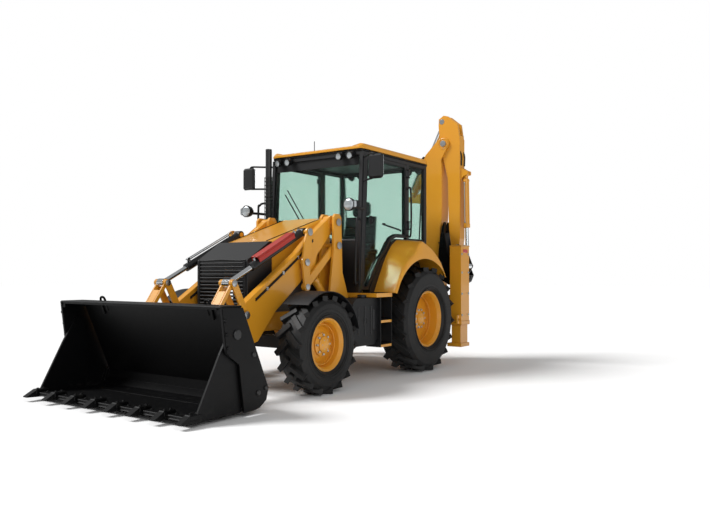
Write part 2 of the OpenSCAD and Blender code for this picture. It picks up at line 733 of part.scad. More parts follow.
module bucket_pins() {
  color(steel) place() both() {
    bar_y(bucket_hinge, pin_r, arm_y - ear_out - collar_t, arm_y + ear_out + collar_t);
    bar_y(bucket_hinge, collar_r, arm_y + ear_out + 6, arm_y + ear_out + collar_t);
    bar_y(bucket_hinge, collar_r, arm_y - ear_out - collar_t, arm_y - ear_out - 6);
  }
}
module lever_top_pins() {
  color(steel) place() both() {
    bar_y(lever_top, link_pin_r, arm_y + link_in - 1, arm_y + ear_out + 4);
    bar_y(lever_top, link_pin_r, arm_y - ear_out - 4, arm_y - link_in + 1);
  }
}
module ears(inside, outside) {
  for (e = [[inside, outside], [-outside, -inside]])
    translate([0, arm_y, 0]) children_between(e[0], e[1]) children();
}
module children_between(y0, y1) {
  translate([0, y1, 0]) rotate([90, 0, 0]) linear_extrude(y1 - y0) children();
}
module strap_outline(a, b, r) {
  along = b - a;
  side = r * [-along[1], along[0]] / norm(along);
  polygon([a + side, a - side, b - side, b + side]);
  translate(a) circle(r = r);
  translate(b) circle(r = r);
}
module tilt_levers() {
  color(yellow) place() both() ears(ear_in, ear_out) difference() {
    strap_outline(lever_pivot, lever_top, 40);
    translate(lever_pivot) circle(r = 55);
    translate(lever_pivot) circle(r = pin_r + run_c);
    translate(lever_top) circle(r = link_pin_r + run_c);
  }
}
module tilt_links() {
  color(yellow) place() both() ears(link_in, link_out) difference() {
    union() {
      strap_outline(lever_top, bucket_top_pin, 20);
      translate(lever_top) circle(r = 40);
      translate(bucket_top_pin) circle(r = 40);
    }
    translate(lever_top) circle(r = link_pin_r + run_c);
    translate(bucket_top_pin) circle(r = link_pin_r + run_c);
  }
}
tilt_length = norm(lever_top - crank_top);
module tilt_barrels() {
  color(yellow) place() both() difference() {
    union() {
      bar_y(crank_top, 48, arm_y - arm_half, arm_y + arm_half);
      ram_y(crank_top, lever_top, barrel_r, 30, 930, arm_y);
    }
    bar_y(crank_top, pin_r + run_c, arm_y - arm_half - 1, arm_y + arm_half + 1);
    ram_y(crank_top, lever_top, rod_r + run_c, 70, 940, arm_y);
  }
}
module tilt_rods() {
  color(steel) place() both() {
    ram_y(crank_top, lever_top, rod_r, 320, tilt_length, arm_y);
    bar_y(lever_top, 45, arm_y - link_in + side_gap, arm_y + link_in - side_gap);
  }
}
lift_length = norm(lift_eye - lift_base);
lift_rod_r = arm_half - 18 - side_gap - 1;
module lift_barrels() {
  color(yellow) place() both() difference() {
    union() {
      bar_y(lift_base, 50, arm_y - arm_half, arm_y + arm_half);
      ram_y(lift_base, lift_eye, barrel_r, 30, 1010, arm_y);
    }
    bar_y(lift_base, pin_r + run_c, arm_y - arm_half - 1, arm_y + arm_half + 1);
    ram_y(lift_base, lift_eye, lift_rod_r + run_c, 60, 1020, arm_y);
  }
}
module lift_rods() {
  reach = arm_half - 18 - side_gap;
  color(steel) place() both() {
    ram_y(lift_base, lift_eye, lift_rod_r, 140, lift_length, arm_y);
    bar_y(lift_eye, 38, arm_y - reach, arm_y + reach);
  }
}
bucket_half = bucket_w / 2;
side_in = bucket_half - bucket_t - 1;
clam_out = side_in - 8;
clam_in = clam_out - bucket_t;
shell_half = clam_in - 10;
floor_low = 44;
seam_x = 3595;
shell_out = [[3862, 995], [3600, 985], [3276, 232], [3298, 122], [3380, 60], [3469, floor_low],
  [seam_x, floor_low]];
shell_in = [[seam_x, floor_low + bucket_t], [3475, floor_low + bucket_t], [3395, 82], [3320, 136],
  [3300, 226],
  [3616, 963], [3862, 973]];
module loader_bucket() {
  color(black) place() {
    plate_y(-shell_half, shell_half, concat(shell_out, shell_in));
    both() {
      difference() {
        plate_y(side_in, bucket_half, [[3862, 995], [3600, 985], [3262, 230], [3290, 120], [3380, 60],
          [3469, floor_low], [3580, floor_low], [3645, 479], [3810, 594]]);
        bar_y(clam_pivot, pin_r + run_c, side_in - 1, bucket_half + 1);
      }
      box([3610, shell_half - 5, 935], [3850, side_in + 5, 985]);
      plate_y(shell_half - 5, side_in + 5, [[3262, 230], [3290, 120], [3370, 66], [3370, 110],
        [3330, 230]]);
      for (e = [[ear_in, ear_out], [-ear_out, -ear_in]]) translate([0, arm_y, 0]) {
        difference() {
          union() {
            plate_y(e[0], e[1], [[3185, 360], [3262, 285], [3312, 285], [3535, 800], [3414, 780],
              [3372, 760],
              [3180, 430]]);
            bar_y(bucket_hinge, 68, e[0], e[1]);
            bar_y(bucket_top_pin, 48, e[0], e[1]);
          }
          bar_y(bucket_hinge, pin_r + run_c, e[0] - 1, e[1] + 1);
        }
        bar_y(bucket_top_pin, link_pin_r, e[0] > 0 ? link_in : -ear_in - 4,
          e[0] > 0 ? ear_in + 4 : -link_in);
      }
    }
  }
}
tooth_w = 70;
module bucket_clam() {
  color(black) place() {
    plate_y(-clam_out, clam_out, [[seam_x + 6, floor_low], [4150, floor_low], [4170, floor_low + 8],
      [4150, floor_low + 30], [seam_x + 6, floor_low + bucket_t]]);
    both() {
      plate_y(clam_in, clam_out, [[seam_x + 6, floor_low], [4110, floor_low], [4115, 95], [3852, 587],
        [3745, 765], [3600, 745], [3560, 480], [3575, 120]]);
      bar_y(clam_pivot, 78, clam_in, clam_out);
      bar_y(clam_pivot, pin_r, clam_in, bucket_half + 3);
    }
    for (i = [0:tooth_count - 1]) {
      y = (i / (tooth_count - 1) - 0.5) * (2 * clam_out - tooth_w);
      plate_y(y - tooth_w / 2, y + tooth_w / 2, [[4080, floor_low - 10], [tooth_tip_x, 46],
        [tooth_tip_x, 56],
        [4180, 112], [4080, 112]]);
    }
  }
}

// Backhoe

module hoe() { translate([-swing_back, swing_y, 0]) children(); }
module carriage() {
  half = 265;
  color(yellow) place() hoe() {
    back = swing_back + shift_rear_x - side_gap;
    difference() {
      union() {
        box([back - 90, -half, 540], [back, half, 1040]);
        for (z = [lug_low, lug_high]) {
          translate([0, 0, z]) cylinder(r = 95, h = lug_t);
          box([0, -95, z], [back - 80, 95, z + lug_t]);
        }
        for (y = [-half, half - 60]) {
          box([back - 20, y, high_rail[1] + seat_c], [back + 57, y + 60, 1040]);
          box([back - 20, y, 540], [back + 57, y + 60, low_rail[0] - seat_c]);
        }
      }
      translate([0, 0, lug_low - 1]) cylinder(r = 40 + run_c, h = lug_high - lug_low + 2 * lug_t);
    }
  }
}
module swing_post() {
  half = boom_in - 8;
  color(yellow) place() hoe() {
    difference() {
      union() {
        translate([0, 0, lug_low - 8]) cylinder(r = 40, h = lug_high + lug_t - lug_low + 16);
        translate([0, 0, lug_low + lug_t + side_gap]) cylinder(r = swing_r,
          h = lug_high - lug_low - lug_t - 2 * side_gap);
        plate_x(-half, half, [[0, 625], [130, 625], [262, 760], [262, 850], [230, 885], [185, 893],
          [120, 900],
          [110, 985], [112, 1040], [5, 1040], [5, lug_high + lug_t + 14], [112, lug_high + lug_t + 14],
          [112, lug_high - 10], [0, lug_high - 10]]);
        bar_x(boom_ram_base, 56, -half, half);
      }
      box([-30, -60, lug_high + lug_t + 28], [30, 130, 1200]);
      bar_x(foot_pin, pin_r + run_c, -half - 1, half + 1);
    }
    bar_x(boom_ram_base, pin_r, -half, half);
  }
}
boom_back = [[112, 860], [12, 1967], [-40, 2391], [-59, 2850], [40, 3080], [255, 3290]];
boom_front = [[400, 3160], [300, 2990], [312, 2819], [316, 2374], [308, 2080], [285, 1928], [290, 860]];
function reversed(list) = [for (i = [len(list) - 1:-1:0]) list[i]];
module boom() {
  color(yellow) place() hoe() {
    for (w = [[boom_in, boom_out], [-boom_out, -boom_in]]) {
      difference() {
        union() {
          plate_x(w[0], w[1], concat(boom_back, boom_front));
          bar_x(foot_pin, 92, w[0], w[1]);
          bar_x(elbow, 92, w[0], w[1]);
        }
        bar_x(elbow, pin_r + run_c, w[0] - 1, w[1] + 1);
      }
      boss = w[0] > 0 ? [33, boom_in + 5] : [-boom_in - 5, -33];
      bar_x(boom_ram_eye, 50, boss[0], boss[1]);
      ear = w[0] > 0 ? [36, 66] : [-66, -36];
      plate_x(ear[0], ear[1], [[-40, 2350], [-70, 2350], [-300, 2390], [-300, 2450], [-262, 2470],
        [-180, 2445], [-45, 2540]]);
    }
    plate_x(-boom_in - 2, boom_in + 2, [[301, 2960], [312, 2819], [316, 2374], [308, 2080],
      [285, 1928], [290, 1120],
      [268, 1120], [263, 1928], [286, 2085], [294, 2374], [290, 2819], [279, 2960]]);
    plate_x(-boom_in - 2, boom_in + 2, [[-38, 2380], [-47, 2560], [-27, 2560], [-18, 2380]]);
    bar_x(foot_pin, pin_r, -boom_out - 6, boom_out + 6);
    bar_x(stick_ram_base, pin_r, -66, 66);
  }
}
boom_ram_length = norm(boom_ram_eye - boom_ram_base);
module boom_barrel() {
  color(yellow) place() hoe() difference() {
    union() {
      bar_x(boom_ram_base, 44, -26, 26);
      ram_x(boom_ram_base, boom_ram_eye, 25, 0, 120);
      ram_x(boom_ram_base, boom_ram_eye, 60, 90, 1090);
    }
    bar_x(boom_ram_base, pin_r + run_c, -27, 27);
    ram_x(boom_ram_base, boom_ram_eye, rod_r + 4 + run_c, 130, 1100);
  }
}
module boom_rod() {
  color(steel) place() hoe() {
    ram_x(boom_ram_base, boom_ram_eye, rod_r + 4, 480, boom_ram_length);
    bar_x(boom_ram_eye, 46, -30, 30);
  }
}
module stick() {
  color(yellow) place() hoe() {
    plate_x(-stick_half, stick_half, [[262, 3330], [590, 3330], [598, 3080], [598, 1800], [570, 1600],
      [590, 1380],
      [535, 1310], [480, 1380], [470, 1600], [417, 2000], [398, 2700], [300, 3100], [262, 3180]]);
    bar_x(bucket_pin, 70, -stick_half, stick_half);
    for (w = [[33, stick_half], [-stick_half, -33]])
      plate_x(w[0], w[1], [[262, 3300], [245, 3500], [250, 3600], [329, 3650], [400, 3630], [560, 3500],
        [590, 3300]]);
    for (w = [[34, 60], [-60, -34]])
      plate_x(w[0], w[1], [[590, 2640], [640, 2720], [715, 2740], [715, 2790], [660, 2815], [590, 2860]]);
    bar_x(elbow, pin_r, -boom_out - 6, boom_out + 6);
    bar_x(curl_ram_base, link_pin_r, -60, 60);
    bar_x(guide_pivot, link_pin_r, -guide_out - 4, guide_out + 4);
    bar_x(bucket_pin, pin_r, -hoe_ear_out - 4, hoe_ear_out + 4);
  }
}
stick_ram_length = norm(stick_ram_eye - stick_ram_base);
module stick_barrel() {
  color(yellow) place() hoe() difference() {
    union() {
      bar_x(stick_ram_base, 48, -33, 33);
      ram_x(stick_ram_base, stick_ram_eye, 32, 0, 90);
      ram_x(stick_ram_base, stick_ram_eye, 52, 76, 640);
    }
    bar_x(stick_ram_base, pin_r + run_c, -34, 34);
    ram_x(stick_ram_base, stick_ram_eye, rod_r + 4 + run_c, 82, 650);
  }
}
module stick_rod() {
  color(steel) place() hoe() {
    ram_x(stick_ram_base, stick_ram_eye, rod_r + 4, 608, stick_ram_length);
    bar_x(stick_ram_eye, 44, -30, 30);
  }
}
curl_length = norm(curl_joint - curl_ram_base);
module curl_barrel() {
  color(yellow) place() hoe() difference() {
    union() {
      bar_x(curl_ram_base, 42, -31, 31);
      ram_x(curl_ram_base, curl_joint, 30, 0, 90);
      ram_x(curl_ram_base, curl_joint, barrel_r, 80, 800);
    }
    bar_x(curl_ram_base, link_pin_r + run_c, -32, 32);
    ram_x(curl_ram_base, curl_joint, rod_r + run_c, 90, 810);
  }
}
module curl_rod() {
  color(steel) place() hoe() {
    ram_x(curl_ram_base, curl_joint, rod_r, 600, curl_length);
    bar_x(curl_joint, 40, -guide_in + side_gap, guide_in - side_gap);
  }
}
module guide_lever() {
  color(black) place() hoe() for (w = [[guide_in, guide_out], [-guide_out, -guide_in]]) {
    difference() {
      strap_x(guide_pivot, curl_joint, 42, w[0], w[1]);
      bar_x(guide_pivot, link_pin_r + run_c, w[0] - 1, w[1] + 1);
    }
    bar_x(curl_joint, 22, w[0] > 0 ? w[0] : -curl_out - 1, w[0] > 0 ? curl_out + 1 : w[1]);
  }
}
module curl_link() {
  color(black) place() hoe() for (w = [[curl_in, curl_out], [-curl_out, -curl_in]]) difference() {
    strap_x(curl_joint, bucket_link_pin, 38, w[0], w[1]);
    bar_x(curl_joint, 22 + run_c, w[0] - 1, w[1] + 1);
  }
}
module hoe_bucket() {
  outside = [[372, 1960], [335, 1820], [312, 1640], [306, 1460], [322, 1300], [380, 1180], [470, 1122],
    [570, 1122],
    [650, 1165], [690, 1260]];
  inside = [[672, 1265], [640, 1182], [565, 1142], [475, 1142], [394, 1194], [342, 1306], [326, 1460],
    [332, 1640],
    [354, 1816], [392, 1950]];
  color(black) place() hoe() {
    difference() {
      plate_x(-hoe_half, hoe_half, concat(outside, inside));
      for (w = [[curl_in - 4, hoe_ear_in], [-hoe_ear_in, 4 - curl_in]])
        plate_x(w[0], w[1], [[462, 1100], [462, 1160], [640, 1290], [740, 1290], [740, 1100]]);
    }
    for (w = [[hoe_half - 18, hoe_half], [-hoe_half, -hoe_half + 18]])
      plate_x(w[0], w[1], concat(outside, [[620, 1420], [470, 1560], [400, 1900]]));
    for (w = [[hoe_ear_in, hoe_ear_out], [-hoe_ear_out, -hoe_ear_in]]) difference() {
      union() {
        plate_x(w[0], w[1], [[480, 1380], [590, 1380], [645, 1175], [570, 1130], [470, 1130], [440, 1160]]);
        bar_x(bucket_pin, 62, w[0], w[1]);
      }
      bar_x(bucket_pin, pin_r + run_c, w[0] - 1, w[1] + 1);
    }
    for (i = [-1.5:1:1.5]) {
      x = i * (hoe_bucket_w - 60) / 3;
      plate_x(x - 30, x + 30, [[352, 1900], [366, 1985], [398, 2045], [408, 2045], [404, 1985],
        [396, 1900]]);
    }
  }
}

front_frame();
rear_frame();
engine_block();
front_axle();
rear_axle();
nose_grille();
side_tanks();
cab_floor();
cab_frame();
cab_roof();
cab_glass();
rear_fenders();
seat();
console();
exhaust();
mirrors_and_lamps();
hood();
left_door();
left_door_glass();
right_door();
right_door_glass();
left_knuckle();
right_knuckle();
left_front_rim();
left_front_tyre();
right_front_rim();
right_front_tyre();
left_rear_rim();
left_rear_tyre();
right_rear_rim();
right_rear_tyre();
loader_arms();
bellcranks();
level_links();
lever_pins();
lever_top_pins();
bucket_pins();
tilt_levers();
tilt_links();
tilt_barrels();
tilt_rods();
lift_barrels();
lift_rods();
loader_bucket();
bucket_clam();
carriage();
swing_post();
boom();
boom_barrel();
boom_rod();
stick();
stick_barrel();
stick_rod();
curl_barrel();
curl_rod();
guide_lever();
curl_link();
hoe_bucket();
left_leg();
right_leg();
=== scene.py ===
# %% [markdown]
# # A backhoe loader, dressed for a studio picture
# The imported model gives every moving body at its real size. This script adds what a fitter and a
# painter would add: rounded skins, nuts, hoses, seals, lamps and the finish of each surface.

import json
import math

import bpy
import numpy as np
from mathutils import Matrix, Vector

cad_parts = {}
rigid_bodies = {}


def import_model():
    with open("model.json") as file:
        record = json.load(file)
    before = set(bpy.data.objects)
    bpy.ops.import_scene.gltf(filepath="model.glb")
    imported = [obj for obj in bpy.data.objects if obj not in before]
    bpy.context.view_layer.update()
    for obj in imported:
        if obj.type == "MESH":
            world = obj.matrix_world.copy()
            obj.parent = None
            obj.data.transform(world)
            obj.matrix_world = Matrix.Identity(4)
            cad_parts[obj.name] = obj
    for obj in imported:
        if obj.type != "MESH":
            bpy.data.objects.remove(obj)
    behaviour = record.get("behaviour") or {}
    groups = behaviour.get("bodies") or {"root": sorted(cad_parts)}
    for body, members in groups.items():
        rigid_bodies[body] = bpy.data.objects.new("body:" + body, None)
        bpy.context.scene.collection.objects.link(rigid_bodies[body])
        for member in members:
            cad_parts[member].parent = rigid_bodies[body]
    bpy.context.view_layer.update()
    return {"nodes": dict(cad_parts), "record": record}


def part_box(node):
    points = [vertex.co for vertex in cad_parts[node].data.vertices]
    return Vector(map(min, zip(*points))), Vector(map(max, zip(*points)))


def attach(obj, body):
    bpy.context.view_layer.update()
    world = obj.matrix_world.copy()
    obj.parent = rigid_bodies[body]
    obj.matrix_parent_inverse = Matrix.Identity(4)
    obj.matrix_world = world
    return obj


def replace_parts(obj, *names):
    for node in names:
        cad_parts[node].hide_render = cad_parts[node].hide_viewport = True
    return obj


for extra in list(bpy.data.objects):
    bpy.data.objects.remove(extra)
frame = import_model()

# %% [markdown]
# ## One set of coordinates
# Lengths below are millimetres from a point on the ground under the rear axle: X forward, Y to the
# machine's left, Z up. `to_row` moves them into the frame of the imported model, in metres.

# %% Units and small vector helpers
MM = 0.001
rim_low, rim_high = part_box("left_rear_rim")
AXLE_X = (rim_low.x + rim_high.x) / 2
SIDES = (1, -1)
X_AXIS, Y_AXIS, Z_AXIS = np.eye(3)
NEARLY_UPRIGHT = 0.9


def to_row(points):
    """Millimetres from the rear axle become metres in the row frame."""
    return np.asarray(points, float) * MM + np.array([AXLE_X, 0, 0])


def unit(vector):
    """The vector's direction, with a length of one."""
    vector = np.asarray(vector, float)
    return vector / np.linalg.norm(vector)


def flip(points, side):
    """Points given for the left side, or their mirror images where side is -1."""
    return np.asarray(points, float) * [1, side, 1]


def at_y(point, y):
    """A point of the side view, [x, z], at a distance to the left."""
    return np.array([point[0], y, point[1]], float)


def across(axis):
    """Two directions at right angles to an axis and to each other."""
    axis = unit(axis)
    helper = Z_AXIS if abs(axis[2]) < NEARLY_UPRIGHT else X_AXIS
    first = unit(np.cross(helper, axis))
    return first, np.cross(axis, first)


def circle(first, second, sides):
    """Points of a circle with radius one, in the plane of two directions."""
    angle = np.linspace(0, 2 * np.pi, sides, endpoint=False)[:, None]
    return np.cos(angle) * first + np.sin(angle) * second


def smooth_path(points, steps=8):
    """A curve through the points, with the tangent at each set by its neighbours."""
    p = np.asarray(points, float)
    p = np.vstack([2 * p[0] - p[1], p, 2 * p[-1] - p[-2]])
    t = np.linspace(0, 1, steps, endpoint=False)[:, None]
    out = []
    for a, b, c, d in zip(p[:-3], p[1:-2], p[2:-1], p[3:]):
        bend = 2 * a - 5 * b + 4 * c - d
        twist = 3 * b - a - 3 * c + d
        out.append(0.5 * (2 * b + (c - a) * t + bend * t**2 + twist * t**3))
    return np.vstack(out + [p[-2:-1]])


# %% [markdown]
# ## Meshes from arrays
# A `Piece` gathers grid surfaces, swept tubes, turned shapes and blocks into one mesh. A surface is
# an array of points, row by row, so a curved skin is one formula and not a list of corners.

# %% The mesh builder
SQUARE = ((0, 0), (1, 0), (1, 1), (0, 1))
MOST_CUT = 0.49
SHARP_EDGE = math.radians(32)
WASHER = 3


def quads(rows, columns, wrap=False):
    """The corner numbers of every cell in a grid. wrap joins each row's end to its start."""
    cells = []
    for i in range(rows - 1):
        for j in range(columns if wrap else columns - 1):
            k = (j + 1) % columns
            here, above = i * columns, (i + 1) * columns
            cells.append([here + j, here + k, above + k, above + j])
    return cells


class Piece:
    """Points and faces of one mesh, in millimetres from the rear axle."""

    def __init__(self):
        self.points = []
        self.faces = []

    def add(self, points, faces):
        """More points, and faces that number them from 0."""
        start = sum(len(p) for p in self.points)
        self.points.append(np.asarray(points, float))
        self.faces.extend([[start + i for i in face] for face in faces])

    def grid(self, surface, wrap=False):
        """Quads over an array of rows of points."""
        surface = np.asarray(surface, float)
        rows, columns = surface.shape[:2]
        self.add(surface.reshape(-1, 3), quads(rows, columns, wrap))

    def shell(self, outer, inner):
        """A closed skin between two surfaces of the same shape."""
        outer, inner = np.asarray(outer, float), np.asarray(inner, float)
        rows, columns = outer.shape[:2]
        count = rows * columns
        faces = []
        for quad in quads(rows, columns):
            faces += [quad, [count + q for q in reversed(quad)]]
        border = list(range(columns))
        border += [i * columns + columns - 1 for i in range(1, rows)]
        border += [(rows - 1) * columns + j for j in range(columns - 2, -1, -1)]
        border += [i * columns for i in range(rows - 2, 0, -1)]
        for a, b in zip(border, border[1:] + border[:1]):
            faces.append([b, a, count + a, count + b])
        self.add(np.vstack([outer.reshape(-1, 3), inner.reshape(-1, 3)]), faces)

    def block(self, low, high, edge=6):
        """A box with its edges and corners cut off. Each corner has a point on each of its faces."""
        low, high = np.asarray(low, float), np.asarray(high, float)
        low, high = np.minimum(low, high), np.maximum(low, high)
        edge = min(edge, MOST_CUT * (high - low).min())
        points = []
        for corner in np.ndindex(2, 2, 2):
            tip = np.where(corner, high, low)
            inward = np.where(corner, -edge, edge)
            for axis in range(3):
                move = inward.copy()
                move[axis] = 0
                points.append(tip + move)
        number = {c: 3 * i for i, c in enumerate(np.ndindex(2, 2, 2))}

        def corner_at(axis, side, u, v):
            spot = [0, 0, 0]
            spot[axis], spot[(axis + 1) % 3], spot[(axis + 2) % 3] = side, u, v
            return number[tuple(spot)]

        faces = []
        for axis in range(3):
            b, c = (axis + 1) % 3, (axis + 2) % 3
            for side in (0, 1):
                ring = [corner_at(axis, side, u, v) + axis for u, v in SQUARE]
                faces.append(ring if side else ring[::-1])
            for u, v in SQUARE:
                near, far = corner_at(axis, 0, u, v), corner_at(axis, 1, u, v)
                strip = [near + b, far + b, far + c, near + c]
                faces.append(strip if u == v else strip[::-1])
        for corner, first in number.items():
            tri = [first, first + 1, first + 2]
            faces.append(tri if sum(corner) % 2 else tri[::-1])
        self.add(points, faces)

    def tube(self, path, radius, sides=10, curved=True):
        """A round bar or hose along a path, with closed ends."""
        path = smooth_path(path) if curved and len(path) > 2 else np.asarray(path, float)
        ahead = np.gradient(path, axis=0)
        ahead /= np.linalg.norm(ahead, axis=1)[:, None]
        first, _ = across(ahead[0])
        rings = []
        for point, direction in zip(path, ahead):
            first = unit(first - direction * np.dot(first, direction))
            rings.append(point + radius * circle(first, np.cross(direction, first), sides))
        self.grid(rings, wrap=True)
        self.add(rings[0], [list(range(sides))[::-1]])
        self.add(rings[-1], [list(range(sides))])

    def bar(self, path, radius, sides=8):
        """A tube that goes straight from point to point."""
        self.tube(path, radius, sides, curved=False)

    def turn(self, profile, centre, axis, sides=32):
        """A turned shape: profile lists [radius, distance along the axis] from one end to the other."""
        axis = unit(axis)
        ring = circle(*across(axis), sides)
        centre = np.asarray(centre, float)
        self.grid([centre + r * ring + along * axis for r, along in profile], wrap=True)

    def hoop(self, centre, axis, radius, thickness, sides=48):
        """A ring of round bar."""
        angles = np.linspace(0, 2 * np.pi, 9)
        section = [[radius + thickness * math.cos(a), thickness * math.sin(a)] for a in angles]
        self.turn(section, centre, axis, sides)

    def plate(self, outline, axis, start, end):
        """A flat outline pushed along Y or X. The outline holds [x, z] or [y, z]."""
        rings = []
        for value in (start, end):
            if axis == "y":
                rings.append([[a, value, b] for a, b in outline])
            else:
                rings.append([[value, a, b] for a, b in outline])
        n = len(outline)
        self.grid(rings, wrap=True)
        self.add(rings[0], [list(range(n))])
        self.add(rings[1], [list(range(n))[::-1]])

    def nut(self, centre, axis, radius=14, height=12):
        """A hexagon head on a washer."""
        wide = radius * 1.35
        head = [[0, WASHER], [radius, WASHER], [radius, height - 2], [radius * 0.85, height], [0, height]]
        self.turn([[0, 0], [wide, 0], [wide, WASHER], [0, WASHER]], centre, axis, 16)
        self.turn(head, centre, axis, 6)

    def nut_ring(self, centre, axis, ring_radius, count, radius=14, height=12):
        """Nuts at equal steps round an axis."""
        for out in circle(*across(axis), count):
            self.nut(np.asarray(centre, float) + ring_radius * out, axis, radius, height)

    def build(self, name, look, body, slot):
        """Makes the mesh object, paints it and lets it ride on a body."""
        mesh = bpy.data.meshes.new(name)
        mesh.from_pydata(to_row(np.vstack(self.points)).tolist(), [], self.faces)
        mesh.materials.append(look)
        mesh.shade_smooth()
        mesh.set_sharp_from_angle(angle=SHARP_EDGE)
        made = bpy.data.objects.new(name, mesh)
        bpy.context.scene.collection.objects.link(made)
        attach(made, body)
        return made


def pieces(count):
    """Several empty pieces."""
    return [Piece() for _ in range(count)]


# %% [markdown]
# ## Materials as arithmetic
# A `Wire` is a node's output. Adding or multiplying two wires makes the Math node, so a finish reads
# like a formula. Noise is taken in Object coordinates, which stay fixed to each body as it moves.

# %% Shader wires
def linear(code):
    """A colour written as six hexadecimal digits, in linear light."""
    parts = [int(code[i : i + 2], 16) / 255 for i in (1, 3, 5)]
    return tuple(c / 12.92 if c <= 0.04045 else ((c + 0.055) / 1.055) ** 2.4 for c in parts) + (1.0,)


class Wire:
    """A node output that can be used in sums."""

    def __init__(self, tree, socket):
        self.tree = tree
        self.socket = socket

    def math(self, operation, other):
        """A Math node fed by this wire and another wire or number."""
        return node(self.tree, "ShaderNodeMath", {0: self, 1: other}, operation=operation)

    def __add__(self, other):
        return self.math("ADD", other)

    def __mul__(self, other):
        return self.math("MULTIPLY", other)


def connect(tree, socket, value):
    """Joins a wire to a socket, or sets the socket to a plain value."""
    if isinstance(value, Wire):
        tree.links.new(value.socket, socket)
    else:
        socket.default_value = value


def node(tree, kind, inputs, output=0, **settings):
    """Any node, with its inputs joined or set, as a Wire from one of its outputs."""
    made = tree.nodes.new(kind)
    for key, value in settings.items():
        setattr(made, key, value)
    for key, value in inputs.items():
        connect(tree, made.inputs[key], value)
    return Wire(tree, made.outputs[output])


class Finish:
    """One material being put together."""

    def __init__(self, name):
        self.material = bpy.data.materials.new(name)
        self.material.use_nodes = True
        self.tree = self.material.node_tree
        self.shader = self.tree.nodes["Principled BSDF"]
        self.place = node(self.tree, "ShaderNodeTexCoord", {}, "Object")

    def noise(self, scale, detail=3.0):
        """Soft noise in the body's own coordinates."""
        inputs = {"Vector": self.place, "Scale": scale, "Detail": detail}
        return node(self.tree, "ShaderNodeTexNoise", inputs, "Fac")

    def height(self):
        """Metres up in the body's own coordinates."""
        return node(self.tree, "ShaderNodeSeparateXYZ", {0: self.place}, "Z")

    def blend(self, factor, first, second):
        """The first colour where the factor is 0, the second where it is 1."""
        return node(self.tree, "ShaderNodeMix", {0: factor, 6: first, 7: second}, 2, data_type="RGBA")

    def between(self, value, low, high):
        """0 at low, 1 at high, straight between and flat beyond."""
        inputs = {"Value": value, "From Min": low, "From Max": high}
        return node(self.tree, "ShaderNodeMapRange", inputs, "Result", clamp=True)

    def rounded(self, radius, height=None, strength=0.2, distance=0.001):
        """Edges that catch the light, with a fine bump over them if a height is given."""
        edge = node(self.tree, "ShaderNodeBevel", {"Radius": radius}, "Normal", samples=4)
        if height is not None:
            inputs = {"Strength": strength, "Distance": distance, "Height": height, "Normal": edge}
            edge = node(self.tree, "ShaderNodeBump", inputs, "Normal")
        connect(self.tree, self.shader.inputs["Normal"], edge)

    def set(self, **values):
        """Joins or sets the shader's inputs, with _ for a space in a name, and gives the material."""
        for key, value in values.items():
            connect(self.tree, self.shader.inputs[key.replace("_", " ")], value)
        return self.material


# %% Finishes
PALE_DUST, GREY_DUST = linear("#8d8577"), linear("#6f6a60")
BARE_METAL = linear("#3a3937")
# GLARE is the near-white of the painted reflection in the ribs of lamp glass.
GLARE = linear("#f4f6f7")


def paint(name, colour, shade, gloss=0.3, coat=0.3):
    """Sprayed enamel: a faint change of tone, a trace of dust low down and soft edges."""
    f = Finish(name)
    tone = f.blend(f.noise(1.2) * 0.5, linear(colour), linear(shade))
    dust = f.between(f.height(), 0.7, 0.1) * f.noise(5.0, 4.0) * 0.06
    f.rounded(0.007, f.noise(160.0, 2.0), 0.02)
    rough = f.noise(6.0, 3.0) * 0.04 + (gloss - 0.02) + dust
    return f.set(Base_Color=f.blend(dust, tone, PALE_DUST), Roughness=rough, Coat_Weight=coat)


def plastic(name, colour, gloss=0.55):
    """Moulded plastic with a fine grain."""
    f = Finish(name)
    grain = f.noise(420.0, 2.0)
    f.rounded(0.006, grain, 0.12)
    dust = f.between(f.height(), 0.8, 0.1) * f.noise(11.0, 5.0) * 0.04
    tone = f.blend(dust, linear(colour), GREY_DUST)
    return f.set(Base_Color=tone, Roughness=grain * 0.1 + (gloss - 0.05), Specular_IOR_Level=0.35)


def worn_black(name):
    """Black bucket paint, scuffed to bare metal in patches near the ground."""
    f = Finish(name)
    patch = f.between(f.noise(14.0, 8.0), 0.60, 0.66) * f.between(f.height(), 0.20, 0.04)
    tone = f.blend(patch * 0.3, linear("#030304"), BARE_METAL)
    f.rounded(0.006, f.noise(60.0, 5.0), 0.05)
    f.set(Base_Color=tone, Metallic=patch * 0.3, Roughness=f.noise(18.0, 5.0) * 0.1 + 0.42)
    return f.set(Specular_IOR_Level=0.2)


def rubber(name):
    """Tyre rubber: dull, with a bloom of dust."""
    f = Finish(name)
    grain = f.noise(90.0, 6.0)
    bloom = f.between(f.noise(6.0, 5.0), 0.45, 0.75) * 0.35
    tone = f.blend(bloom, linear("#0b0b0b"), linear("#1b1a19"))
    f.rounded(0.008, grain, 0.25)
    return f.set(Base_Color=tone, Roughness=grain * 0.15 + 0.5, Specular_IOR_Level=0.4)


def metal(name, colour, rough, streak=80.0):
    """Bare metal with fine marks."""
    f = Finish(name)
    marks = f.noise(streak, 6.0)
    f.rounded(0.003, marks, 0.05)
    return f.set(Base_Color=linear(colour), Metallic=1.0, Roughness=marks * 0.14 + (rough - 0.07))


def pane(name, colour, cover):
    """Tinted glass: what shows through it takes its colour, and its face mirrors the studio."""
    f = Finish(name)
    haze = f.noise(3.0, 3.0)
    f.set(Base_Color=linear(colour), Roughness=haze * 0.04 + 0.01, Alpha=haze * 0.06 + cover)
    return f.set(Coat_Weight=1.0, Transmission_Weight=1.0, IOR=1.01)


